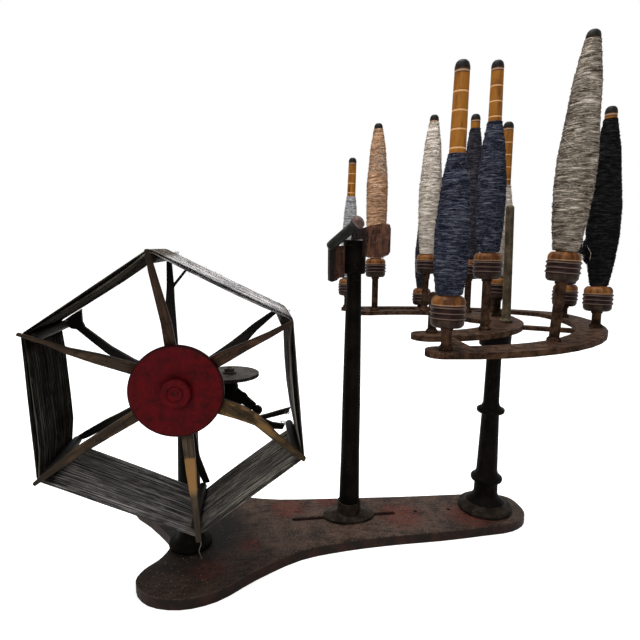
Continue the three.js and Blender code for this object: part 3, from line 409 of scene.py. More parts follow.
edge_colour = blend(tree, ramp(tree, mottle, 0.4, 0.65), BOARD_DARK, BOARD_EDGE)
colour = blend(tree, below, colour, edge_colour)
wire(tree, math_node(tree, "ADD", times(tree, speckle, 0.3), 0.42), shader.inputs["Roughness"])
dress_surface(tree, shader, colour, weighted(tree, (grain, 0.5), (speckle, 0.8), (kept, 0.3)), 0.0006)


def hand_over(mesh, name, finishes, body, slot, *replaced):
    """Makes the finished bmesh a piece that rides on its body and stands for its CAD solids."""
    data = bpy.data.meshes.new(name)
    mesh.to_mesh(data)
    mesh.free()
    piece = bpy.data.objects.new(name, data)
    scene.collection.objects.link(piece)
    for finish in finishes:
        data.materials.append(finish)
    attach(piece, body)
    if replaced:
        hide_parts(*replaced)
    return piece


def smooth(faces, finish_number=0):
    for face in faces:
        face.smooth = True
        face.material_index = finish_number


def mark_sharp(mesh, angle):
    """Marks the edges that turn by more than an angle, and the open ones."""
    for line in mesh.edges:
        line.smooth = len(line.link_faces) == 2 and line.calc_face_angle(0) < math.radians(angle)


def merged_copy(node, sharp=32):
    """A CAD solid's mesh with its corners merged, flat faces dissolved and sharp edges marked."""
    mesh = bmesh.new()
    mesh.from_mesh(nodes[node].data)
    bmesh.ops.remove_doubles(mesh, verts=mesh.verts, dist=2e-6)
    bmesh.ops.dissolve_limit(mesh, angle_limit=math.radians(1), verts=mesh.verts, edges=mesh.edges)
    smooth(mesh.faces)
    mark_sharp(mesh, sharp)
    return mesh


def soften(piece, width, segments=2, angle=32):
    """Rounds a piece's sharp edges by a live bevel."""
    edge = piece.modifiers.new("worn_edges", "BEVEL")
    edge.width = width * MM
    edge.segments = segments
    edge.limit_method = "ANGLE"
    edge.angle_limit = math.radians(angle)
    edge.harden_normals = False
    edge.use_clamp_overlap = True
    return piece


board = hand_over(merged_copy("base_board"), "board", [board_finish], "base", "board", "base_board")
soften(board, 1.3, 3)


# Hub: a thick turned disc, painted deep red, with a turned red knob over the shaft's end.
# The spokes are clamped behind it against a drum and a plain rear flange.
SHAFT_X, SHAFT_Z = -374.0, 213.8
HUB_RED = (0.078, 0.0024, 0.0040)
HUB_RED_DARK = (0.026, 0.0018, 0.0022)
# Radii in metres between which the rim turns dark
HUB_RIM = (0.0408, 0.0436)


def red_paint(name, centre_y):
    """Red enamel: darker in rings and stains, chipped dots, faint turning marks about the shaft."""
    material, tree, shader, where = new_finish(name, 0.5, 0.0, 0.04)
    centred = (-SHAFT_X * MM, -centre_y * MM, -SHAFT_Z * MM)
    place = mapped(tree, where.outputs["Object"], (1, 1, 1), (0, 0, 0), centred)
    reach = vector_node(tree, "LENGTH", mapped(tree, place, (1, 0, 1)))
    ring_place = tree.nodes.new("ShaderNodeCombineXYZ")
    wire(tree, reach, ring_place.inputs[0])
    rings = noise_node(tree, ring_place.outputs[0], 700.0, 2)
    stain = noise_node(tree, place, 90.0, 8, 0.75)
    colour = blend(tree, ramp(tree, stain, 0.33, 0.62), HUB_RED_DARK, HUB_RED)
    colour = tint(tree, colour, ramp(tree, rings, 0.5, 0.7), 0.22, HUB_RED_DARK)
    chips = speck_node(tree, place, 210.0, 0.16, 0.16)
    colour = tint(tree, colour, chips, 0.75, (0.03, 0.006, 0.006))
    rim = ramp(tree, reach, *HUB_RIM)
    colour = tint(tree, colour, rim, 0.8, (0.016, 0.003, 0.003))
    wire(tree, math_node(tree, "ADD", times(tree, stain, 0.3), 0.36), shader.inputs["Roughness"])
    dress_surface(tree, shader, colour, math_node(tree, "ADD", stain, times(tree, rings, 0.4)), 0.0008)
    return material


def turned(profile, segments=64):
    """Spins a profile of (radius, height) about Z, in millimetres. It ends on the axis or is closed."""
    mesh = bmesh.new()
    rim = [mesh.verts.new((radius * MM, 0, height * MM)) for radius, height in profile]
    lines = [mesh.edges.new(pair) for pair in zip(rim, rim[1:])]
    bmesh.ops.spin(mesh, geom=rim + lines, cent=(0, 0, 0), axis=(0, 0, 1), dvec=(0, 0, 0),
                   angle=2 * math.pi, steps=segments, use_merge=True)
    bmesh.ops.remove_doubles(mesh, verts=mesh.verts, dist=2e-6)
    bmesh.ops.recalc_face_normals(mesh, faces=mesh.faces)
    smooth(mesh.faces)
    mark_sharp(mesh, 40)
    return mesh


def shift(mesh, x, y, z):
    """Moves a mesh, in millimetres."""
    bmesh.ops.translate(mesh, verts=mesh.verts, vec=(x * MM, y * MM, z * MM))
    return mesh


def rounded(profile, cut=0.6):
    """Cuts the corners of a turned profile in two steps, so that its edges catch light."""
    points = [Vector(point) for point in profile]
    kept = []
    last = len(points) - 1
    for i, point in enumerate(points):
        if i in (0, last):
            kept.append(tuple(point))
            continue
        before, after = points[i - 1] - point, points[i + 1] - point
        reach = min(cut, before.length * 0.4, after.length * 0.4)
        if reach < 0.02 or before.angle(-after, 0) < 0.25:
            kept.append(tuple(point))
            continue
        start, end = point + before.normalized() * reach, point + after.normalized() * reach
        kept += [tuple(start), tuple(start * 0.25 + point * 0.5 + end * 0.25), tuple(end)]
    return kept


def lay_along_y(mesh, x, z):
    """Turns an upright piece so that its heights grow towards +Y, and puts it on the shaft's line."""
    mesh.transform(Matrix.Translation((x * MM, 0, z * MM)) @ Matrix.Rotation(-math.pi / 2, 4, "X"))
    return mesh


hub_profile = rounded([
    (5.3, -61), (5.3, -113), (43.1, -113), (44.3, -111.6), (44.3, -107), (43.0, -105.5), (13, -91.8),
    (13, -71.1), (30, -67.7), (30, -61), (5.3, -61)], 0.8)
hub_disc = lay_along_y(turned(hub_profile, 96), SHAFT_X, SHAFT_Z)
hand_over(hub_disc, "hub", [red_paint("hub_paint", -113)], "reel", "red_paint", "reel_hub")
knob_profile = rounded([
    (5.3, -113.3), (5.3, -119.3), (1.5, -119.3), (1.3, -121.0), (2.6, -121.3), (3.0, -120.8),
    (3.5, -121.3), (6.4, -121.3), (6.9, -120.3), (7.5, -120.3), (8.0, -121.3), (13, -121.3),
    (14.4, -119.9), (14.4, -113.3), (5.3, -113.3)], 0.35)
end_knob = lay_along_y(turned(knob_profile, 64), SHAFT_X, SHAFT_Z)
hand_over(end_knob, "knob", [red_paint("knob_paint", -121)], "reel", "red_paint", "hub_knob")


# Spokes: hand-cut hardwood sticks, two to an arm. The front ones are bare and tan, the rear ones near black.
# The grain runs along each stick, and the tips are thin and dark from handling.
ARM_ANGLES = [-6.4, 55.5, 116.4, 171.9, 239.4, 297.1]
# Distances from the shaft in metres: where sticks darken towards the tip, and where a split starts and ends
STICK_DARKENS, SPLIT_START, SPLIT_END = (0.084, 0.122), (0.0705, 0.0715), (0.096, 0.104)


def stick_wood(name, dark, mid, light, pale_share, split=False):
    """Wood with a UV map along and across the stick, in metres. A split lays bare fresh wood half-way."""
    material, tree, shader, where = new_finish(name, 0.62, 0.0, 0.06)
    along = where.outputs["UV"]
    grain = noise_node(tree, mapped(tree, along, (24, 900, 1)), 1.0, 5, 0.68)
    broad = noise_node(tree, mapped(tree, along, (30, 150, 1), (0, 0, 0), (3.1, 0.7, 0)), 1.0, 3)
    colour = blend(tree, ramp(tree, grain, 0.34, 0.60), dark, mid)
    colour = tint(tree, colour, ramp(tree, broad, 0.47, 0.66), pale_share, light)
    rubbed = patch_node(tree, where.outputs["Object"], 85.0, 0.46)
    colour = tint(tree, colour, rubbed, 0.75, dark)
    reach = axis_node(tree, along, 0)
    colour = tint(tree, colour, ramp(tree, reach, *STICK_DARKENS), 0.6, dark)
    if split:
        ragged = weighted(tree, (grain, 0.012), (reach, 1.0))
        bare = math_node(tree, "SUBTRACT", ramp(tree, ragged, *SPLIT_START), ramp(tree, ragged, *SPLIT_END))
        colour = tint(tree, colour, bare, 0.85, (0.24, 0.125, 0.045))
    wire(tree, math_node(tree, "ADD", times(tree, grain, 0.35), 0.4), shader.inputs["Roughness"])
    dress_surface(tree, shader, colour, grain, 0.0005)
    return material


brown_wood = stick_wood(
    "old_brown_wood", (0.010, 0.007, 0.005), (0.042, 0.028, 0.018), (0.125, 0.074, 0.038), 0.55)
reddish_wood = stick_wood(
    "reddish_brown_wood", (0.009, 0.005, 0.0035), (0.036, 0.020, 0.012), (0.100, 0.052, 0.028), 0.5)
golden_wood = stick_wood(
    "golden_brown_wood", (0.012, 0.008, 0.004), (0.060, 0.037, 0.017), (0.190, 0.105, 0.036), 0.65)
split_wood = stick_wood(
    "split_brown_wood", (0.014, 0.010, 0.007), (0.055, 0.039, 0.026), (0.125, 0.085, 0.050), 0.5, True)
black_wood = stick_wood(
    "blackened_wood", (0.0025, 0.002, 0.002), (0.008, 0.0065, 0.005), (0.026, 0.020, 0.015), 0.35)
FRONT_WOODS = [reddish_wood, reddish_wood, golden_wood, split_wood, brown_wood, brown_wood]
FRONT_LEAN, REAR_LEAN = -0.5, 0.2
RAIL_RADIUS, RAIL_LENGTH = 4.2, 78


def lay_grain(mesh, angle, lean, seed):
    """Writes the UV map: distance from the shaft, and place across the stick, shifted for each stick."""
    turn = math.radians(angle)
    outward = Vector((math.sin(turn), 0, math.cos(turn)))
    sideways = Vector((math.cos(turn), 0, -math.sin(turn)))
    centre = Vector((SHAFT_X * MM, 0, SHAFT_Z * MM))
    layer = mesh.loops.layers.uv.new("grain")
    for face in mesh.faces:
        for corner in face.loops:
            place = corner.vert.co - centre
            reach = place.dot(outward)
            corner[layer].uv = (reach, place.dot(sideways) + (place.y - lean * reach) * 0.7 + seed * 0.11)
    return mesh


for number, angle in enumerate(ARM_ANGLES, 1):
    for row, wood, lean in (("front", FRONT_WOODS[number - 1], FRONT_LEAN), ("rear", black_wood, REAR_LEAN)):
        node = f"{row}_spoke_{number}"
        stick = lay_grain(merged_copy(node, 25), angle, lean, number + (7 if row == "rear" else 0))
        piece = hand_over(stick, f"{row}_stick_{number}", [wood], "reel",
                          "spoke_wood" if row == "front" else "dark_wood", node)
        soften(piece, 0.9, 2, 25)
    rail_node = f"reel_rail_{number}"
    low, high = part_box(rail_node)
    rail = turned(rounded([(0, 0), (RAIL_RADIUS, 0), (RAIL_RADIUS, RAIL_LENGTH), (0, RAIL_LENGTH)], 0.7), 24)
    rail.transform(Matrix.Translation(((low.x + high.x) / 2, low.y, (low.z + high.z) / 2)) @
                   Matrix.Rotation(-math.pi / 2, 4, "X"))
    layer = rail.loops.layers.uv.new("grain")
    for face in rail.faces:
        for corner in face.loops:
            corner[layer].uv = (corner.vert.co.y, corner.vert.co.x + corner.vert.co.z)
    hand_over(rail, f"rail_{number}", [black_wood], "reel", "dark_wood", rail_node)


# Wound band: hundreds of turns of fine grey and cream thread laid side by side over the rails.
# Some turns wander across others, and broken ends and knots stand up at the corners.
BAND_CORNERS = [133.6, 129.6, 131.8, 131.6, 133.8, 134]
BAND_FRONT, BAND_BACK, BAND_WALL = -140.5, -56.0, 2.5
# How far the inner turns hang in at a fifth, two fifths and so on of each side, in millimetres
BAND_SAG = [
    (0.8, 1.4, 1.6, 1.4), (3.2, 4.2, 4.2, 3.0), (1, 1.2, 1.2, 1),
    (0.5, 0.6, 0.6, 0.5), (3.4, 3.0, 2.4, 2.0), (1.0, 1.9, 2.6, 2.4)]


def thread_finish(name, shades, fine, long, line_axis, side_light=()):
    """Spun thread: the shade changes from turn to turn and along each, and pale threads cross the rest.
    line_axis is 1 for the axis that the turns are stacked along. Each side of the band gets painted light: an
    angle about the shaft, where that side faces, and the factor that its colour is multiplied by, a painted
    highlight above one and painted shade below one."""
    material, tree, shader, where = new_finish(name, 0.9, 0.0, 0.03)
    place = where.outputs["Object"]

    def streaks(across, along, shift):
        stretch = tuple(across if axis else along for axis in line_axis)
        return noise_node(tree, mapped(tree, place, stretch, (0, 0, 0), shift), 1.0, 3, 0.65)

    turns = streaks(fine, long, (0, 0, 0))
    groups = streaks(fine * 0.28, long * 0.8, (7.3, 1.9, 4.1))
    speckle = noise_node(tree, place, 1500.0, 3, 0.7)
    tone = weighted(tree, (turns, 0.55), (groups, 0.35), (speckle, 0.1))
    slow = noise_node(tree, place, 34.0, 3)
    dark, mid, light = shades
    colour = blend(tree, ramp(tree, tone, 0.41, 0.50), dark, mid)
    colour = blend(tree, ramp(tree, tone, 0.51, 0.62), colour, light)
    line = streaks(fine * 0.3, long * 1.2, (2.7, 9.1, 5.5))
    line = off_by(tree, line, 0.5)
    line = inverse(tree, ramp(tree, line, 0.008, 0.03))
    colour = tint(tree, colour, line, 0.45, light)
    colour = tint(tree, colour, ramp(tree, slow, 0.42, 0.75), 0.4, dark)
    if side_light:
        about = mapped(tree, place, (1, 1, 1), (0, 0, 0), (-SHAFT_X * MM, 0, -SHAFT_Z * MM))
    # Painted light and shade: each side of the band is brightened or darkened by the way it faces.
    for angle, shade in side_light:
        outward = (math.sin(math.radians(angle)), 0, math.cos(math.radians(angle)))
        here = ramp(tree, vector_node(tree, "DOT_PRODUCT", about, outward), 0.100, 0.108)
        colour = blend(tree, here, colour, shade, "MULTIPLY")
    dress_surface(tree, shader, colour, weighted(tree, (speckle, 0.6), (turns, 0.4)), 0.0002)
    return material


# Painted light and shade on the sides A-B, B-C, C-D, D-E, E-F and F-A, where A is the first arm: factors
# above one are painted highlight, below one painted shade
BAND_SIDE_LIGHT = (
    (24.6, (2.5, 2.5, 2.65)), (86, (0.5, 0.48, 0.46)), (144.2, (0.8, 0.76, 0.70)),
    (205.7, (1.1, 1.08, 1.1)), (268.2, (0.3, 0.29, 0.26)), (325.4, (0.28, 0.26, 0.22)))
band_finish = thread_finish(
    "grey_band_thread", ((0.006, 0.006, 0.006), (0.062, 0.060, 0.060), (0.42, 0.40, 0.37)),
    1500, 9, (0, 1, 0), BAND_SIDE_LIGHT)


def band_corner(number, inset):
    turn = math.radians(ARM_ANGLES[number % 6])
    reach = BAND_CORNERS[number % 6] - inset
    return Vector((SHAFT_X + reach * math.sin(turn), 0, SHAFT_Z + reach * math.cos(turn)))


def band_loop(inset, y, wander, draw, hang=0.0):
    """One turn round the six corners, a little loose between them."""
    points = []
    for number in range(6):
        before, here, after = (band_corner(number + step, inset) for step in (-1, 0, 1))
        come, leave = here + (before - here).normalized() * 3, here + (after - here).normalized() * 3
        shift = draw.uniform(-wander, wander)
        for corner in (come, here * 0.5 + come * 0.25 + leave * 0.25, leave):
            points.append(corner + Vector((0, y + shift, 0)))
        for share, sag in zip((0.2, 0.4, 0.6, 0.8), BAND_SAG[number]):
            middle = here.lerp(after, share)
            inward = (Vector((SHAFT_X, 0, SHAFT_Z)) - middle).normalized()
            hung = middle + inward * (sag * hang + draw.uniform(0, 0.2))
            points.append(hung + Vector((0, y + draw.uniform(-wander, wander), 0)))
    return points


def tangle(centre, size, count, draw):
    """Loose curls of thread about a point."""
    lines = []
    for _ in range(count):
        line, spin = [], draw.uniform(0, 6.3)
        tilt = Vector((draw.uniform(-1, 1), draw.uniform(-1, 1), draw.uniform(-1, 1))).normalized()
        side = tilt.orthogonal().normalized()
        other = tilt.cross(side)
        loop = size * draw.uniform(0.35, 0.8)
        for step in range(11):
            angle = spin + step * 0.55
            drift = (step / 10 - 0.5) * size * draw.uniform(0.6, 1.0)
            round_loop = side * math.cos(angle) + other * math.sin(angle)
            line.append(Vector(centre) + loop * round_loop + tilt * drift)
        lines.append(line)
    return lines


def strands(name, lines, radius, closed):
    """Lines of points in millimetres, as round threads of one mesh."""
    data = bpy.data.curves.new(name, "CURVE")
    data.dimensions = "3D"
    data.bevel_depth = radius * MM
    data.bevel_resolution = 0
    data.use_fill_caps = not closed
    for line in lines:
        thread = data.splines.new("POLY")
        thread.points.add(len(line) - 1)
        flat = [value for point in line for value in (*(part * MM for part in point), 1)]
        thread.points.foreach_set("co", flat)
        thread.use_cyclic_u = closed
    holder = bpy.data.objects.new(name, data)
    scene.collection.objects.link(holder)
    bpy.context.view_layer.update()
    made = bpy.data.meshes.new_from_object(holder.evaluated_get(bpy.context.evaluated_depsgraph_get()))
    bpy.data.objects.remove(holder)
    bpy.data.curves.remove(data)
    return made


def take_in(whole, parts):
    """Joins thread meshes to a bmesh, and drops them."""
    for data in parts:
        whole.from_mesh(data)
        bpy.data.meshes.remove(data)
    return whole


TURN_SPACING = (0.56, 0.76)
STRAY_TURNS, FUZZ_HAIRS = 26, 50
draw = random.Random(11)
outer_turns, inner_turns, stray_turns, curls = [], [], [], []
THREAD = 0.34
INNER_INSET = BAND_WALL / math.cos(math.pi / 6) - THREAD
y = BAND_FRONT + 0.4
while y < BAND_BACK - 0.4:
    outer_turns.append(band_loop(THREAD + draw.uniform(-0.05, 0.12), y, 0.25, draw))
    inner_turns.append(
        band_loop(INNER_INSET + draw.uniform(-0.3, 0.1), y + 0.3, 0.3, draw, draw.uniform(0.8, 1.0)))
    y += draw.uniform(*TURN_SPACING)
for _ in range(STRAY_TURNS):
    at = draw.uniform(BAND_FRONT + 6, BAND_BACK - 6)
    stray_turns.append(band_loop(THREAD * draw.uniform(0.6, 0.9), at, 4.5, draw))
# Knots along the first side and at the second corner, by share of the side, Y and size
BAND_KNOTS = (
    (0.097, -59, 4.2), (0.245, -98, 2.6), (0.606, -88, 2.2),
    (0.755, -98, 2.2), (0.93, -70, 2.2), (0.99, -100, 2.4))
for share, at, size in BAND_KNOTS:
    middle = band_corner(0, 0).lerp(band_corner(1, 0), share)
    outward = (middle - Vector((SHAFT_X, 0, SHAFT_Z))).normalized()
    curls += tangle(middle + outward * (size * 0.2 - 0.4) + Vector((0, at, 0)), size, 4, draw)
# Tangles behind the third corner and at the sixth: centre, size and count of loops
TANGLES = (
    ((-266, -57, 171.5), 5.0, 9), ((-270.5, -58, 160.5), 4.6, 7),
    ((-262, -58, 158), 4.0, 6), ((-488.5, -80, 272.5), 3.6, 5))
for centre, size, count in TANGLES:
    curls += tangle(centre, size, count, draw)
# Short ends that hang under the first side near the rear, and one below the fourth corner
for x, z, drop in ((-369, 332, 9), (-365, 330, 12), (-361.5, 328.5, 7)):
    curls.append([
        Vector((x + 0.8 * math.sin(step * 1.3 + x), -61 + 0.3 * step, z - drop * step / 6))
        for step in range(7)])
curls.append([Vector((-352 + 1.1 * math.sin(step * 0.9), -146, 84 - 2.1 * step)) for step in range(10)])
# Fuzz that stands off the front and rear edges of the first side
for _ in range(FUZZ_HAIRS):
    share, at = draw.uniform(0.02, 0.98), draw.choice((BAND_BACK - 1, draw.uniform(BAND_FRONT, BAND_BACK)))
    root = band_corner(0, 0.4).lerp(band_corner(1, 0.4), share) + Vector((0, at, 0))
    bend = Vector((draw.uniform(-2, 2), draw.uniform(-2.5, 2.5), draw.uniform(-0.5, 2.2)))
    curls.append([root, root + bend * 0.5 + Vector((0, 0, 0.5)), root + bend])
wound = take_in(bmesh.new(), [
    strands("outer_turns", outer_turns, THREAD, True), strands("inner_turns", inner_turns, THREAD, True),
    strands("stray_turns", stray_turns, 0.3, True), strands("curls", curls, 0.16, False)])
smooth(wound.faces)
hand_over(wound, "wound_band", [band_finish], "reel", "band_yarn", "reel_yarn")


# Shaft with its worm, count wheel and stud: plain steel, dull and stained with old oil.
# The worm and the wheel's teeth are cut as the solids have them.
def dull_metal(name, dark, light, roughness, metallic, scale=60.0, dust_share=0.0, dust=(0.2, 0.19, 0.17),
               specular=0.05):
    """Old metal: mottled, pitted, with a little dust."""
    material, tree, shader, where = new_finish(name, roughness, metallic, specular)
    place = where.outputs["Object"]
    mottle = noise_node(tree, place, scale, 5, 0.65)
    colour = blend(tree, ramp(tree, mottle, 0.35, 0.68), dark, light)
    pits = noise_node(tree, place, scale * 9, 4, 0.6)
    colour = tint(tree, colour, ramp(tree, pits, 0.5, 0.75), 0.4, dark)
    if dust_share:
        lint = speck_node(tree, place, 420.0, 0.2, dust_share)
        colour = tint(tree, colour, lint, 0.55, dust)
    rough = math_node(tree, "ADD", times(tree, math_node(tree, "SUBTRACT", pits, 0.5), 0.5), roughness)
    wire(tree, rough, shader.inputs["Roughness"])
    dress_surface(tree, shader, colour, math_node(tree, "ADD", pits, mottle), 0.0004)
    return material


steel = dull_metal("dull_steel", (0.012, 0.010, 0.008), (0.050, 0.044, 0.035), 0.55, 0.25, 90.0)
hand_over(merged_copy("reel_shaft", 40), "shaft_with_worm", [steel], "reel", "dull_steel", "reel_shaft")
wheel = hand_over(
    merged_copy("count_wheel", 30), "counting_wheel", [steel], "counter", "dull_steel", "count_wheel")
soften(wheel, 0.25, 1, 60)
WHEEL_X, WHEEL_Y, WHEEL_Z = -328.0, -30.0, 208.4
stud_profile = rounded([
    (0, -14), (3, -14), (3, -4.1), (6.5, -4.1), (6.5, -2.1), (3, -2.1), (3, 2.1), (7.5, 2.1),
    (7.5, 3.3), (5.6, 3.3), (5.6, 7.3), (3, 7.3), (3, 8.6), (0, 9.6)], 0.4)
stud = shift(turned(stud_profile, 48), WHEEL_X, WHEEL_Y, WHEEL_Z)
hand_over(stud, "wheel_pin", [steel], "base", "dull_steel", "wheel_stud")


# Reel stand: a turned iron pillar with a forked bearing bracket, painted black and dusty.
# A turned ball ends the bracket's lug.
black_iron = dull_metal(
    "black_iron", (0.0014, 0.0011, 0.0009), (0.0048, 0.0036, 0.0026), 0.55, 0.0, 70.0, 0.05,
    (0.07, 0.06, 0.045), 0.02)
dusty_iron = dull_metal(
    "dusty_iron", (0.004, 0.003, 0.002), (0.024, 0.017, 0.012), 0.6, 0.0, 90.0, 0.12, (0.16, 0.13, 0.10),
    0.04)
fork = hand_over(
    merged_copy("bearing_fork", 28), "bearing_bracket", [black_iron], "base", "black_iron", "bearing_fork")
soften(fork, 0.9, 2, 40)
hand_over(merged_copy("bracket_knob", 60), "lug_knob", [black_iron], "base", "black_iron", "bracket_knob")
PILLAR_Y = -35.0
pillar_profile = rounded([
    (0, 12.8), (24, 12.8), (24, 16.8), (21, 18.3), (17.5, 19.3), (15.4, 21.8), (13.8, 28.8), (13, 42.8),
    (12.2, 87.8), (11.1, 139.8), (10, 174.8), (13.2, 177.8), (13.2, 182.8), (10.4, 183.8),
    (10.4, 186.5), (0, 186.5)], 1.0)
pillar = shift(turned(pillar_profile, 56), SHAFT_X, PILLAR_Y, 0)
hand_over(pillar, "reel_stand_pillar", [black_iron], "base", "black_iron", "reel_pillar")


# Guide post: a black iron rod in an oval cast foot that a bolt clamps to the slot from below.
# A sleeve at the top carries the guide head.
POST_X = -182.7
foot = hand_over(
    merged_copy("post_foot", 50), "post_foot_casting", [dusty_iron], "guide_stand", "black_iron", "post_foot")
soften(foot, 0.8, 2, 45)
post = turned(rounded([
    (0, 17.1), (12.6, 17.1), (12.3, 50), (11.4, 97), (11, 160), (10.2, 223), (9.9, 248), (8.8, 303),
    (8.5, 315), (8.5, 355), (0, 355)], 0.6), 56)
hand_over(shift(post, POST_X, 0, 0), "post_rod", [black_iron], "guide_stand", "black_iron", "guide_post")
clamp = hand_over(
    merged_copy("post_clamp", 40), "clamp_bolt", [steel], "guide_stand", "dull_steel", "post_clamp")
soften(clamp, 0.4, 1, 45)
collar = turned(rounded([
    (8.8, 319), (12.2, 319), (13.2, 321), (13.2, 355), (13.8, 355.4), (13.8, 358), (0, 358), (0, 355.3),
    (8.8, 355.3), (8.8, 319)], 0.5), 56)
hand_over(
    shift(collar, POST_X, 0, 0), "head_sleeve", [black_iron], "guide_head", "black_iron", "guide_collar")


# Guide head: two slotted leaves that part the threads, worn smooth and red-brown.
# A round black bar with a paler end slants up beside them.
def guide_leaf(name, dark_from, dark_to, brown, pale):
    """Brown and worn, with fine grooves up the leaf, and black between two distances from the post."""
    material, tree, shader, where = new_finish(name, 0.5, 0.0, 0.08)
    place = where.outputs["Object"]
    mottle = noise_node(tree, place, 110.0, 5, 0.65)
    grooves = noise_node(tree, mapped(tree, place, (420, 420, 60)), 1.0, 3)
    tone = weighted(tree, (mottle, 0.6), (grooves, 0.4))
    colour = blend(tree, ramp(tree, tone, 0.38, 0.6), (0.020, 0.010, 0.009), brown)
    worn = patch_node(tree, place, 90.0, 0.42)
    colour = tint(tree, colour, worn, 0.5, pale)
    flat = mapped(tree, place, (1, 1, 0), (0, 0, 0), (-POST_X * MM, 0, 0))
    near, far = sorted((dark_from * MM, dark_to * MM))
    black = ramp(tree, vector_node(tree, "LENGTH", flat), near, far)
    if dark_from > dark_to:
        black = inverse(tree, black)
    colour = tint(tree, colour, black, 0.9, (0.005, 0.004, 0.004))
    dress_surface(tree, shader, colour, weighted(tree, (mottle, 0.5), (grooves, 0.5)), 0.0005)
    return material


comb_brown = guide_leaf("comb_brown", 24, 19, (0.088, 0.038, 0.022), (0.17, 0.085, 0.050))
gate_brown = guide_leaf("gate_brown", 24, 28, (0.052, 0.022, 0.014), (0.09, 0.045, 0.032))
comb = hand_over(
    merged_copy("guide_comb", 30), "slotted_leaf", [comb_brown], "guide_head", "guide_leather", "guide_comb")
soften(comb, 0.6, 2, 40)
gate = hand_over(
    merged_copy("guide_gate", 30), "looped_leaf", [gate_brown], "guide_head", "guide_leather", "guide_gate")
soften(gate, 0.7, 2, 40)
bar_iron = dull_metal(
    "bar_iron", (0.005, 0.006, 0.005), (0.026, 0.027, 0.023), 0.45, 0.0, 70.0, specular=0.12)
bar_end = dull_metal("bar_end", (0.060, 0.038, 0.034), (0.20, 0.135, 0.12), 0.5, 0.0, 120.0)
bar_dot = dull_metal("bar_dot", (0.030, 0.004, 0.004), (0.060, 0.008, 0.008), 0.5, 0.0, 120.0)
# The middle of the bar's lower end, and its turn about the upright and lean from it in degrees
BAR_FOOT, BAR_TURN, BAR_LEAN = (-215.6, -12.6, 348.8), -37.9, 52.4
# The height up the bar where its paler end starts, and the radius of the red dot there
BAR_NECK, BAR_DOT = 44, 1.5
bar = turned(rounded([
    (0, 0), (3.6, 0.4), (5.2, 2), (5.7, 6), (5.7, 38), (6.6, 40), (7.6, 43), (7.8, 46), (6.8, 49),
    (4.4, 51), (1.5, 51.6), (0, 51.6)], 0.5), 40)
for face in bar.faces:
    at = face.calc_center_median()
    face.material_index = 0 if at.z < BAR_NECK * MM else 2 if math.hypot(at.x, at.y) < BAR_DOT * MM else 1
bar.transform(Matrix.Translation(Vector(BAR_FOOT) * MM) @
              Matrix.Rotation(math.radians(BAR_TURN), 4, "Z") @ Matrix.Rotation(math.radians(BAR_LEAN), 4,
                                                                                "Y"))
hand_over(bar, "cross_bar", [bar_iron, bar_end, bar_dot], "guide_head", "black_iron", "guide_bar")


# Creel: two open rings of flat cast iron joined by spokes, rusted brown, with a peg for each bobbin.
# It stands on a turned black column, and a plain rod stands beside the column.
rust = dull_metal(
    "rusty_iron", (0.010, 0.0055, 0.0035), (0.070, 0.036, 0.021), 0.7, 0.0, 120.0, 0.08, (0.19, 0.125, 0.09),
    0.025)
creel = hand_over(
    merged_copy("creel_frame", 28), "creel_rings_and_pegs", [rust], "base", "rusty_iron", "creel_frame")
soften(creel, 0.9, 2, 40)
rod_finish = dull_metal("olive_rod", (0.026, 0.019, 0.011), (0.110, 0.082, 0.050), 0.45, 0.2, 60.0)
CREEL_TOP, CREEL_SAG, CREEL_TILT, CREEL_TILT_FADE = 267.3, 0.06, 0.0135, 0.0035
ROD_SPOT, ROD_LEAN = (-15, -50.5), (-1.9, 0)


def plate_top(x, y):
    """The casting sags behind its column and tips down towards the reel, less so at the back."""
    behind = max(0.0, y - 20)
    return CREEL_TOP - CREEL_SAG * behind + CREEL_TILT * (x - 20) * (1 - CREEL_TILT_FADE * behind)


def stand_up(mesh, foot, lean, lift=0.0):
    """Leans an upright piece about its foot and stands it on the creel's plate."""
    to_right, to_rear = (math.radians(angle) for angle in lean)
    mesh.transform(Matrix.Translation((foot[0] * MM, foot[1] * MM, (plate_top(*foot) + lift) * MM)) @
                   Matrix.Rotation(-to_rear, 4, "X") @ Matrix.Rotation(to_right, 4, "Y"))
    return mesh


rod = turned(rounded([
    (0, 0.3), (7.4, 0.3), (7.4, 3), (4.9, 5), (4.5, 128), (3.8, 130), (2.2, 130.9), (0, 131)], 0.6), 40)
rod = stand_up(rod, ROD_SPOT, ROD_LEAN, 0.3)
hand_over(rod, "upright_rod", [rod_finish], "base", "dull_steel", "creel_rod")
column_profile = rounded([
    (0, 12.8), (34.5, 12.8), (34.5, 16.8), (32.5, 18.8), (27, 19.8), (24, 23.8), (17, 29.8),
    (14.8, 34.8), (14.6, 49.3), (19.5, 52.3), (19.8, 56.3), (15, 59.3), (13, 65.3), (10.8, 140.8),
    (17, 143.8), (17.4, 147.8), (12, 150.8), (9.8, 155.8), (8.9, 224.8), (13, 227.8), (19, 230.8),
    (19.4, 247.8), (19.4, 261), (0, 261)], 1.2)
column = turned(column_profile, 72)
for face in column.faces:
    face.material_index = 1 if face.calc_center_median().z < 24 * MM else 0
hand_over(column, "turned_column", [black_iron, dusty_iron], "base", "black_iron", "creel_column")
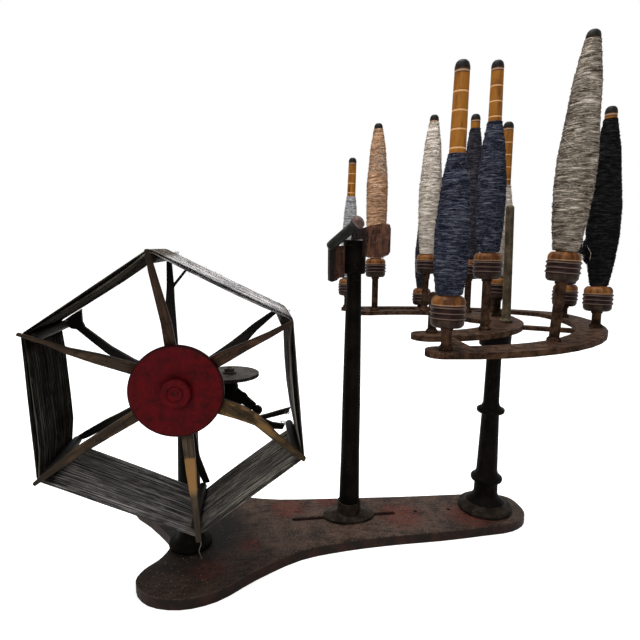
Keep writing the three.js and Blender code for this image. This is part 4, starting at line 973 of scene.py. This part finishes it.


# Bobbins: turned wood with three rings at the foot, each with a painted highlight line on its crest, an amber
# bell above them and a dark domed tip.
# Their varnished shafts have thin pale rings where the yarn leaves them bare, with a strip of painted shadow
# just above each.
BOBBINS = {
    "outer_1": ((-143, -185.9), 17.4, (0.7, 0.3)), "outer_2": ((-30.5, -163.9), 54.5, (2.35, -1)),
    "outer_3": ((64, -95), 18.3, (-0.55, 1)), "outer_4": ((76.5, -19.8), 15, (0, 0)),
    "outer_6": ((-33, 181.5), -6.6, (0.3, 0)), "outer_7": ((-152, 192.1), 7.7, (1.1, -0.3)),
    "inner_2": ((-63.5, -95), 52.3, (-0.75, -0.3)), "inner_4": ((0.4, 1.3), 22, (0, 0)),
    "inner_5": ((-15, 52.7), 43, (-0.5, 0.2)), "inner_6": ((-61.5, 89.9), 48, (0.3, -0.9)),
    "inner_7": ((-126.6, 115.4), 41.2, (-0.3, 0.3))}
AMBER, AMBER_DARK, RING_DARK = (0.255, 0.098, 0.014), (0.090, 0.030, 0.006), (0.008, 0.0022, 0.0014)
# Heights up the bobbin, in metres: the painted highlight lines on the crests of the foot's rings, the cap
# below them, the flange above them, the ring below the tip, where foot, bell, shaft and collar end, and the
# step between the shaft's rings
RING_HIGHLIGHT_HEIGHTS, CAP_TOP, FLANGE, TIP_RING = (0.0079, 0.0124, 0.0168), 0.0066, 0.0190, 0.2008
FOOT_END, BELL_END = (0.0181, 0.0184), (0.0262, 0.0268)
SHAFT_END, COLLAR_END = (0.1985, 0.1995), (0.2020, 0.2026)
SHAFT_RING_STEP = 0.0142
PAINTED_RING_HIGHLIGHT, TIP_BLACK = (0.15, 0.10, 0.080), (0.006, 0.005, 0.004)


def stripe(tree, value, middle, half):
    """One where a value lies within half of the middle, else zero."""
    return math_node(tree, "LESS_THAN", off_by(tree, value, middle), half)


def bobbin_wood():
    """Colour by height up the bobbin (UV v, in metres): dark foot with a painted highlight on each ring's
    crest, amber shaft with a painted shadow above each pale ring, black tip.
    """
    material, tree, shader, where = new_finish("ringed_bobbin_wood", 0.45, 0.0, 0.08)
    height = axis_node(tree, where.outputs["UV"], 1)
    stain = noise_node(tree, mapped(tree, where.outputs["Object"], (160, 160, 40)), 1.0, 4, 0.6)
    amber = blend(tree, ramp(tree, stain, 0.42, 0.72), AMBER, AMBER_DARK)
    above_first = math_node(tree, "SUBTRACT", height, 0.0004)
    ring_share = math_node(tree, "FRACT", math_node(tree, "DIVIDE", above_first, SHAFT_RING_STEP))
    # Painted shadow: a dark strip just above each pale ring of the shaft.
    amber = tint(tree, amber, stripe(tree, ring_share, 0.045, 0.085), 0.55, AMBER_DARK)
    ring_share = math_node(tree, "LESS_THAN", ring_share, 0.09)
    amber = tint(tree, amber, ring_share, 0.75, (0.70, 0.40, 0.18))
    amber = blend(tree, ramp(tree, height, *SHAFT_END), amber, AMBER_DARK)
    amber = tint(tree, amber, stripe(tree, height, TIP_RING, 0.0006), 0.7, (0.42, 0.31, 0.22))
    foot = blend(tree, ramp(tree, stain, 0.45, 0.75), RING_DARK, (0.026, 0.0075, 0.0045))
    cap = math_node(tree, "LESS_THAN", height, CAP_TOP)
    foot = tint(tree, foot, cap, ramp(tree, stain, 0.36, 0.66), (0.034, 0.022, 0.014))
    # Painted highlights: a pale line along the crest of each of the foot's three rings.
    for middle in RING_HIGHLIGHT_HEIGHTS:
        foot = tint(tree, foot, stripe(tree, height, middle, 0.00032), 0.8, PAINTED_RING_HIGHLIGHT)
    bell = blend(tree, ramp(tree, stain, 0.36, 0.62), (0.185, 0.072, 0.018), (0.050, 0.017, 0.006))
    bell = tint(tree, bell, stripe(tree, height, FLANGE, 0.0004), 0.6, (0.40, 0.26, 0.15))
    upper = blend(tree, ramp(tree, height, *BELL_END), bell, amber)
    colour = blend(tree, ramp(tree, height, *FOOT_END), foot, upper)
    colour = blend(tree, ramp(tree, height, *COLLAR_END), colour, TIP_BLACK)
    dress_surface(tree, shader, colour, stain, 0.0003)
    return material


bobbin_finish = bobbin_wood()
BOBBIN_PROFILE = rounded([
    (0, 66), (4.4, 64), (4.4, 0), (11.2, 0), (12.6, 0.9), (13.7, 2.6), (13.9, 6.4), (13.7, 6.8),
    (14.6, 7.3), (15, 7.9), (14.7, 8.6), (14.0, 9.5), (13.8, 10.4), (14.1, 11.4), (14.8, 12.0),
    (15, 12.5), (14.6, 13.2), (13.9, 14.2), (13.8, 15.0), (14.2, 15.8), (15, 16.5), (15, 17.1),
    (14.4, 17.7), (13.6, 18.2), (13.9, 19.0), (13.9, 21.6), (13.4, 23.4), (12.4, 24.8), (11, 26),
    (7.9, 26), (5.9, 202), (6.1, 202.4), (5.9, 205), (5.1, 207.6), (3.4, 209.3), (0, 210)], 0.22)


def write_heights(mesh):
    layer = mesh.loops.layers.uv.new("height")
    for face in mesh.faces:
        for corner in face.loops:
            at = corner.vert.co
            corner[layer].uv = (math.atan2(at.y, at.x) / (2 * math.pi), at.z)
    return mesh


for name, (spot, rise, lean) in BOBBINS.items():
    lift = rise + CREEL_TOP - plate_top(*spot)
    wood = shift(write_heights(turned(BOBBIN_PROFILE, 40)), 0, 0, lift)
    hand_over(stand_up(wood, spot, lean), f"{name}_turned_bobbin", [bobbin_finish], f"{name}_package",
              "bobbin_wood", f"{name}_bobbin")


# Yarn on the bobbins: each package is thousands of turns of spun thread, wound in a long spindle shape.
# The turns lie slightly uneven, a few cross at a steeper angle, and short fibres stand off the surface.
YARNS = {
    "outer_1": (139, 80, 14.9, 0.76, "yarn_slate"), "outer_2": (201.5, 105, 16.8, 0.66, "yarn_silver"),
    "outer_3": (197, 110, 16.8, 0.56, "yarn_navy"), "outer_4": (150, 85, 15, 0.76, "yarn_plum"),
    "outer_6": (150, 85, 13.5, 0.64, "yarn_plum"), "outer_7": (152, 80, 13, 0.76, "yarn_grey"),
    "inner_2": (153, 95, 14.6, 0.76, "yarn_slate"), "inner_4": (136, 75, 13.2, 0.76, "yarn_cream"),
    "inner_5": (192, 95, 15.4, 0.76, "yarn_plum"), "inner_6": (200, 115, 15.8, 0.68, "yarn_cream"),
    "inner_7": (201.5, 128, 15.2, 0.76, "yarn_peach")}
YARN_SHADES = {
    "yarn_slate": ((0.004, 0.0045, 0.008), (0.020, 0.023, 0.040), (0.150, 0.158, 0.195)),
    "yarn_silver": ((0.035, 0.026, 0.018), (0.190, 0.158, 0.120), (0.66, 0.58, 0.50)),
    "yarn_navy": ((0.0012, 0.0012, 0.0014), (0.0045, 0.0043, 0.0050), (0.030, 0.028, 0.029)),
    "yarn_grey": ((0.07, 0.075, 0.09), (0.30, 0.305, 0.32), (0.76, 0.74, 0.73)),
    "yarn_cream": ((0.19, 0.15, 0.115), (0.54, 0.47, 0.40), (0.92, 0.86, 0.79)),
    "yarn_plum": ((0.006, 0.006, 0.008), (0.026, 0.024, 0.034), (0.115, 0.110, 0.120)),
    "yarn_peach": ((0.16, 0.085, 0.045), (0.42, 0.235, 0.135), (0.78, 0.55, 0.37))}
yarn_finishes = {
    slot: thread_finish(slot, shades, 1200, 85, (0, 0, 1)) for slot, shades in YARN_SHADES.items()}
pale_thread = thread_finish(
    "pale_loose_thread", ((0.30, 0.24, 0.18), (0.55, 0.47, 0.38), (0.85, 0.78, 0.68)), 1050, 130, (0, 0, 1))
YARN_START = 26.5
TURN_PITCH, TURN_RADIUS, TURN_STEPS = 0.98, 0.56, 24
HAIRS, HAIR_LENGTH, HAIR_RADIUS = 260, 6.0, 0.07


def shaft_radius(height):
    """The bobbin's shaft narrows evenly from the bell to the tip."""
    return 7.9 + (5.8 - 7.9) * (height - 26) / 184


def package_radius(height, end, peak, radius, low_share):
    """The spindle outline: the same stations as the solid, joined by straight runs."""
    tip, foot = shaft_radius(end) + 0.9, radius * low_share
    stations = [
        (YARN_START, foot), ((YARN_START * 2 + peak) / 3, (foot + radius) / 2 + 0.8),
        ((YARN_START + peak * 2) / 3, radius * 0.985), (peak, radius),
        ((peak * 1.6 + end) / 2.6, (radius * 2.2 + tip) / 3.2), ((peak + end * 2) / 3, (radius + tip) / 2),
        (end, tip)]
    for (low, near), (high, far) in zip(stations, stations[1:]):
        if height <= high:
            share = (height - low) / (high - low)
            return near + (far - near) * share
    return tip


def winding(form, pitch, sink, waver, seed):
    """One thread up the package, a turn every pitch. The form is end, peak, radius and share at the foot."""
    end = form[0]
    points, height, turn = [], YARN_START + 0.6, 0
    while height < end - 0.6:
        for step in range(TURN_STEPS):
            angle = 2 * math.pi * step / TURN_STEPS
            ripple = noise.noise(Vector((math.cos(angle) * 2.2, math.sin(angle) * 2.2, height * 0.33 + seed)))
            lump = noise.noise(Vector((seed, turn * 0.7, 3.0)))
            up = height + pitch * step / TURN_STEPS + waver * ripple
            up = min(max(up, YARN_START + 0.3), end - 0.3)
            reach = package_radius(up, *form) - sink + 0.3 * lump + 0.4 * ripple
            points.append((reach * math.cos(angle), reach * math.sin(angle), up))
        height += pitch
        turn += 1
    return points


def fibres(form, count, length, draw):
    """Short stray hairs that stand off the yarn."""
    end = form[0]
    lines = []
    for _ in range(count):
        height = draw.uniform(YARN_START + 2, end - 3)
        angle = draw.uniform(0, 2 * math.pi)
        reach = package_radius(height, *form) - 0.5
        swing = draw.uniform(-0.5, 0.5)
        rise = draw.uniform(-0.6, 0.6)
        long = length * draw.uniform(0.4, 1.0)
        line = []
        for step in range(5):
            share = step / 4
            out = reach + 0.9 * math.sin(share * math.pi * draw.uniform(0.6, 0.9))
            turn = angle + swing * share * long / reach
            line.append((out * math.cos(turn), out * math.sin(turn), height + rise * share * long))
        lines.append(line)
    return lines


def loose_ends(name, form, draw):
    """Pale threads that hang off three packages: loops high on one, single ends on two."""
    def on_surface(angle, height, off):
        reach = package_radius(height, *form) + off
        return (reach * math.cos(math.radians(angle)), reach * math.sin(math.radians(angle)), height)

    lines = []
    if name == "inner_7":
        for _ in range(30):
            angle, height = draw.uniform(-150, -40), draw.uniform(138, 186)
            turn, slope = draw.uniform(18, 55), draw.uniform(-14, 14)
            lines.append([on_surface(
                angle + turn * math.sin(step * 0.42), height + slope * step / 8 + 2.5 * math.sin(step * 0.8),
                0.1 + 0.7 * math.sin(step * 0.9) ** 2) for step in range(9)])
        for _ in range(16):
            angle, height = draw.uniform(-170, -30), draw.uniform(70, 180)
            lines.append(
                [on_surface(angle + step * 7, height + 0.5 * math.sin(step), 0.2) for step in range(8)])
    if name == "outer_2":
        lines.append([
            on_surface(161 + 8.7 * step, 127.5 - 2.15 * step, 0.3 + 0.5 * math.sin(step * 1.1))
            for step in range(8)])
    if name == "outer_3":
        lines.append([
            on_surface(159 + 35 * min(1, step / 5) - 5 * max(0, step - 5) / 3, 74.6 - 2.62 * step, 0.4)
            for step in range(9)])
    return lines


def tuft(form, draw):
    """Loose loops that bulge from one side of a package, above its foot."""
    lines = []
    for _ in range(60):
        angle, height = math.radians(draw.uniform(138, 172)), draw.uniform(54, 78)
        bulge = 6.5 * math.sin(math.pi * (height - 50) / 30) * draw.uniform(0.5, 1)
        line = []
        for step in range(7):
            up = height - 0.9 * step
            reach = package_radius(up, *form) - 0.8 + bulge * math.sin(math.pi * step / 6)
            line.append((reach * math.cos(angle + 0.03 * step), reach * math.sin(angle + 0.03 * step), up))
        lines.append(line)
    return lines


for order, (name, (*form, slot)) in enumerate(YARNS.items()):
    end, peak = form[:2]
    spot, rise, lean = BOBBINS[name]
    lift = rise + CREEL_TOP - plate_top(*spot)
    draw = random.Random(40 + order)
    core_heights = (
        YARN_START + 0.4, peak * 0.5 + YARN_START * 0.5, peak,
        peak * 0.66 + end * 0.34, peak * 0.33 + end * 0.67, end - 0.4)
    core = [(package_radius(height, *form) - 1.25, height) for height in core_heights]
    core.insert(0, (shaft_radius(YARN_START) - 0.2, YARN_START + 0.4))
    core.append((shaft_radius(end) - 0.2, end - 0.4))
    package = turned([*core, core[0]], 32)
    turns = [winding(form, TURN_PITCH, TURN_RADIUS + 0.3, 0.9, order * 7.3)]
    crossings = [winding(form, 7.5, 0.35, 1.0, order * 3.1 + 50),
                 winding(form, 11.0, 0.3, 2.0, order * 5.7 + 90)]
    package_parts = [
        strands(f"{name}_turns", turns, TURN_RADIUS, False),
        strands(f"{name}_cross", crossings, 0.34, False),
        strands(f"{name}_hair", fibres(form, HAIRS, HAIR_LENGTH, draw), HAIR_RADIUS, False)]
    if name == "outer_3":
        package_parts.append(strands(f"{name}_tuft", tuft(form, draw), 0.4, False))
    take_in(package, package_parts)
    smooth(package.faces)
    ends = loose_ends(name, form, draw)
    finishes = [yarn_finishes[slot]]
    if ends:
        whole = len(package.faces)
        take_in(package, [strands(f"{name}_ends", ends, 0.13, False)])
        package.faces.ensure_lookup_table()
        smooth(package.faces[whole:], 1)
        finishes.append(pale_thread)
    hand_over(stand_up(shift(package, 0, 0, lift), spot, lean), f"{name}_wound_yarn", finishes,
              f"{name}_package", slot, f"{name}_yarn")


low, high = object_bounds()
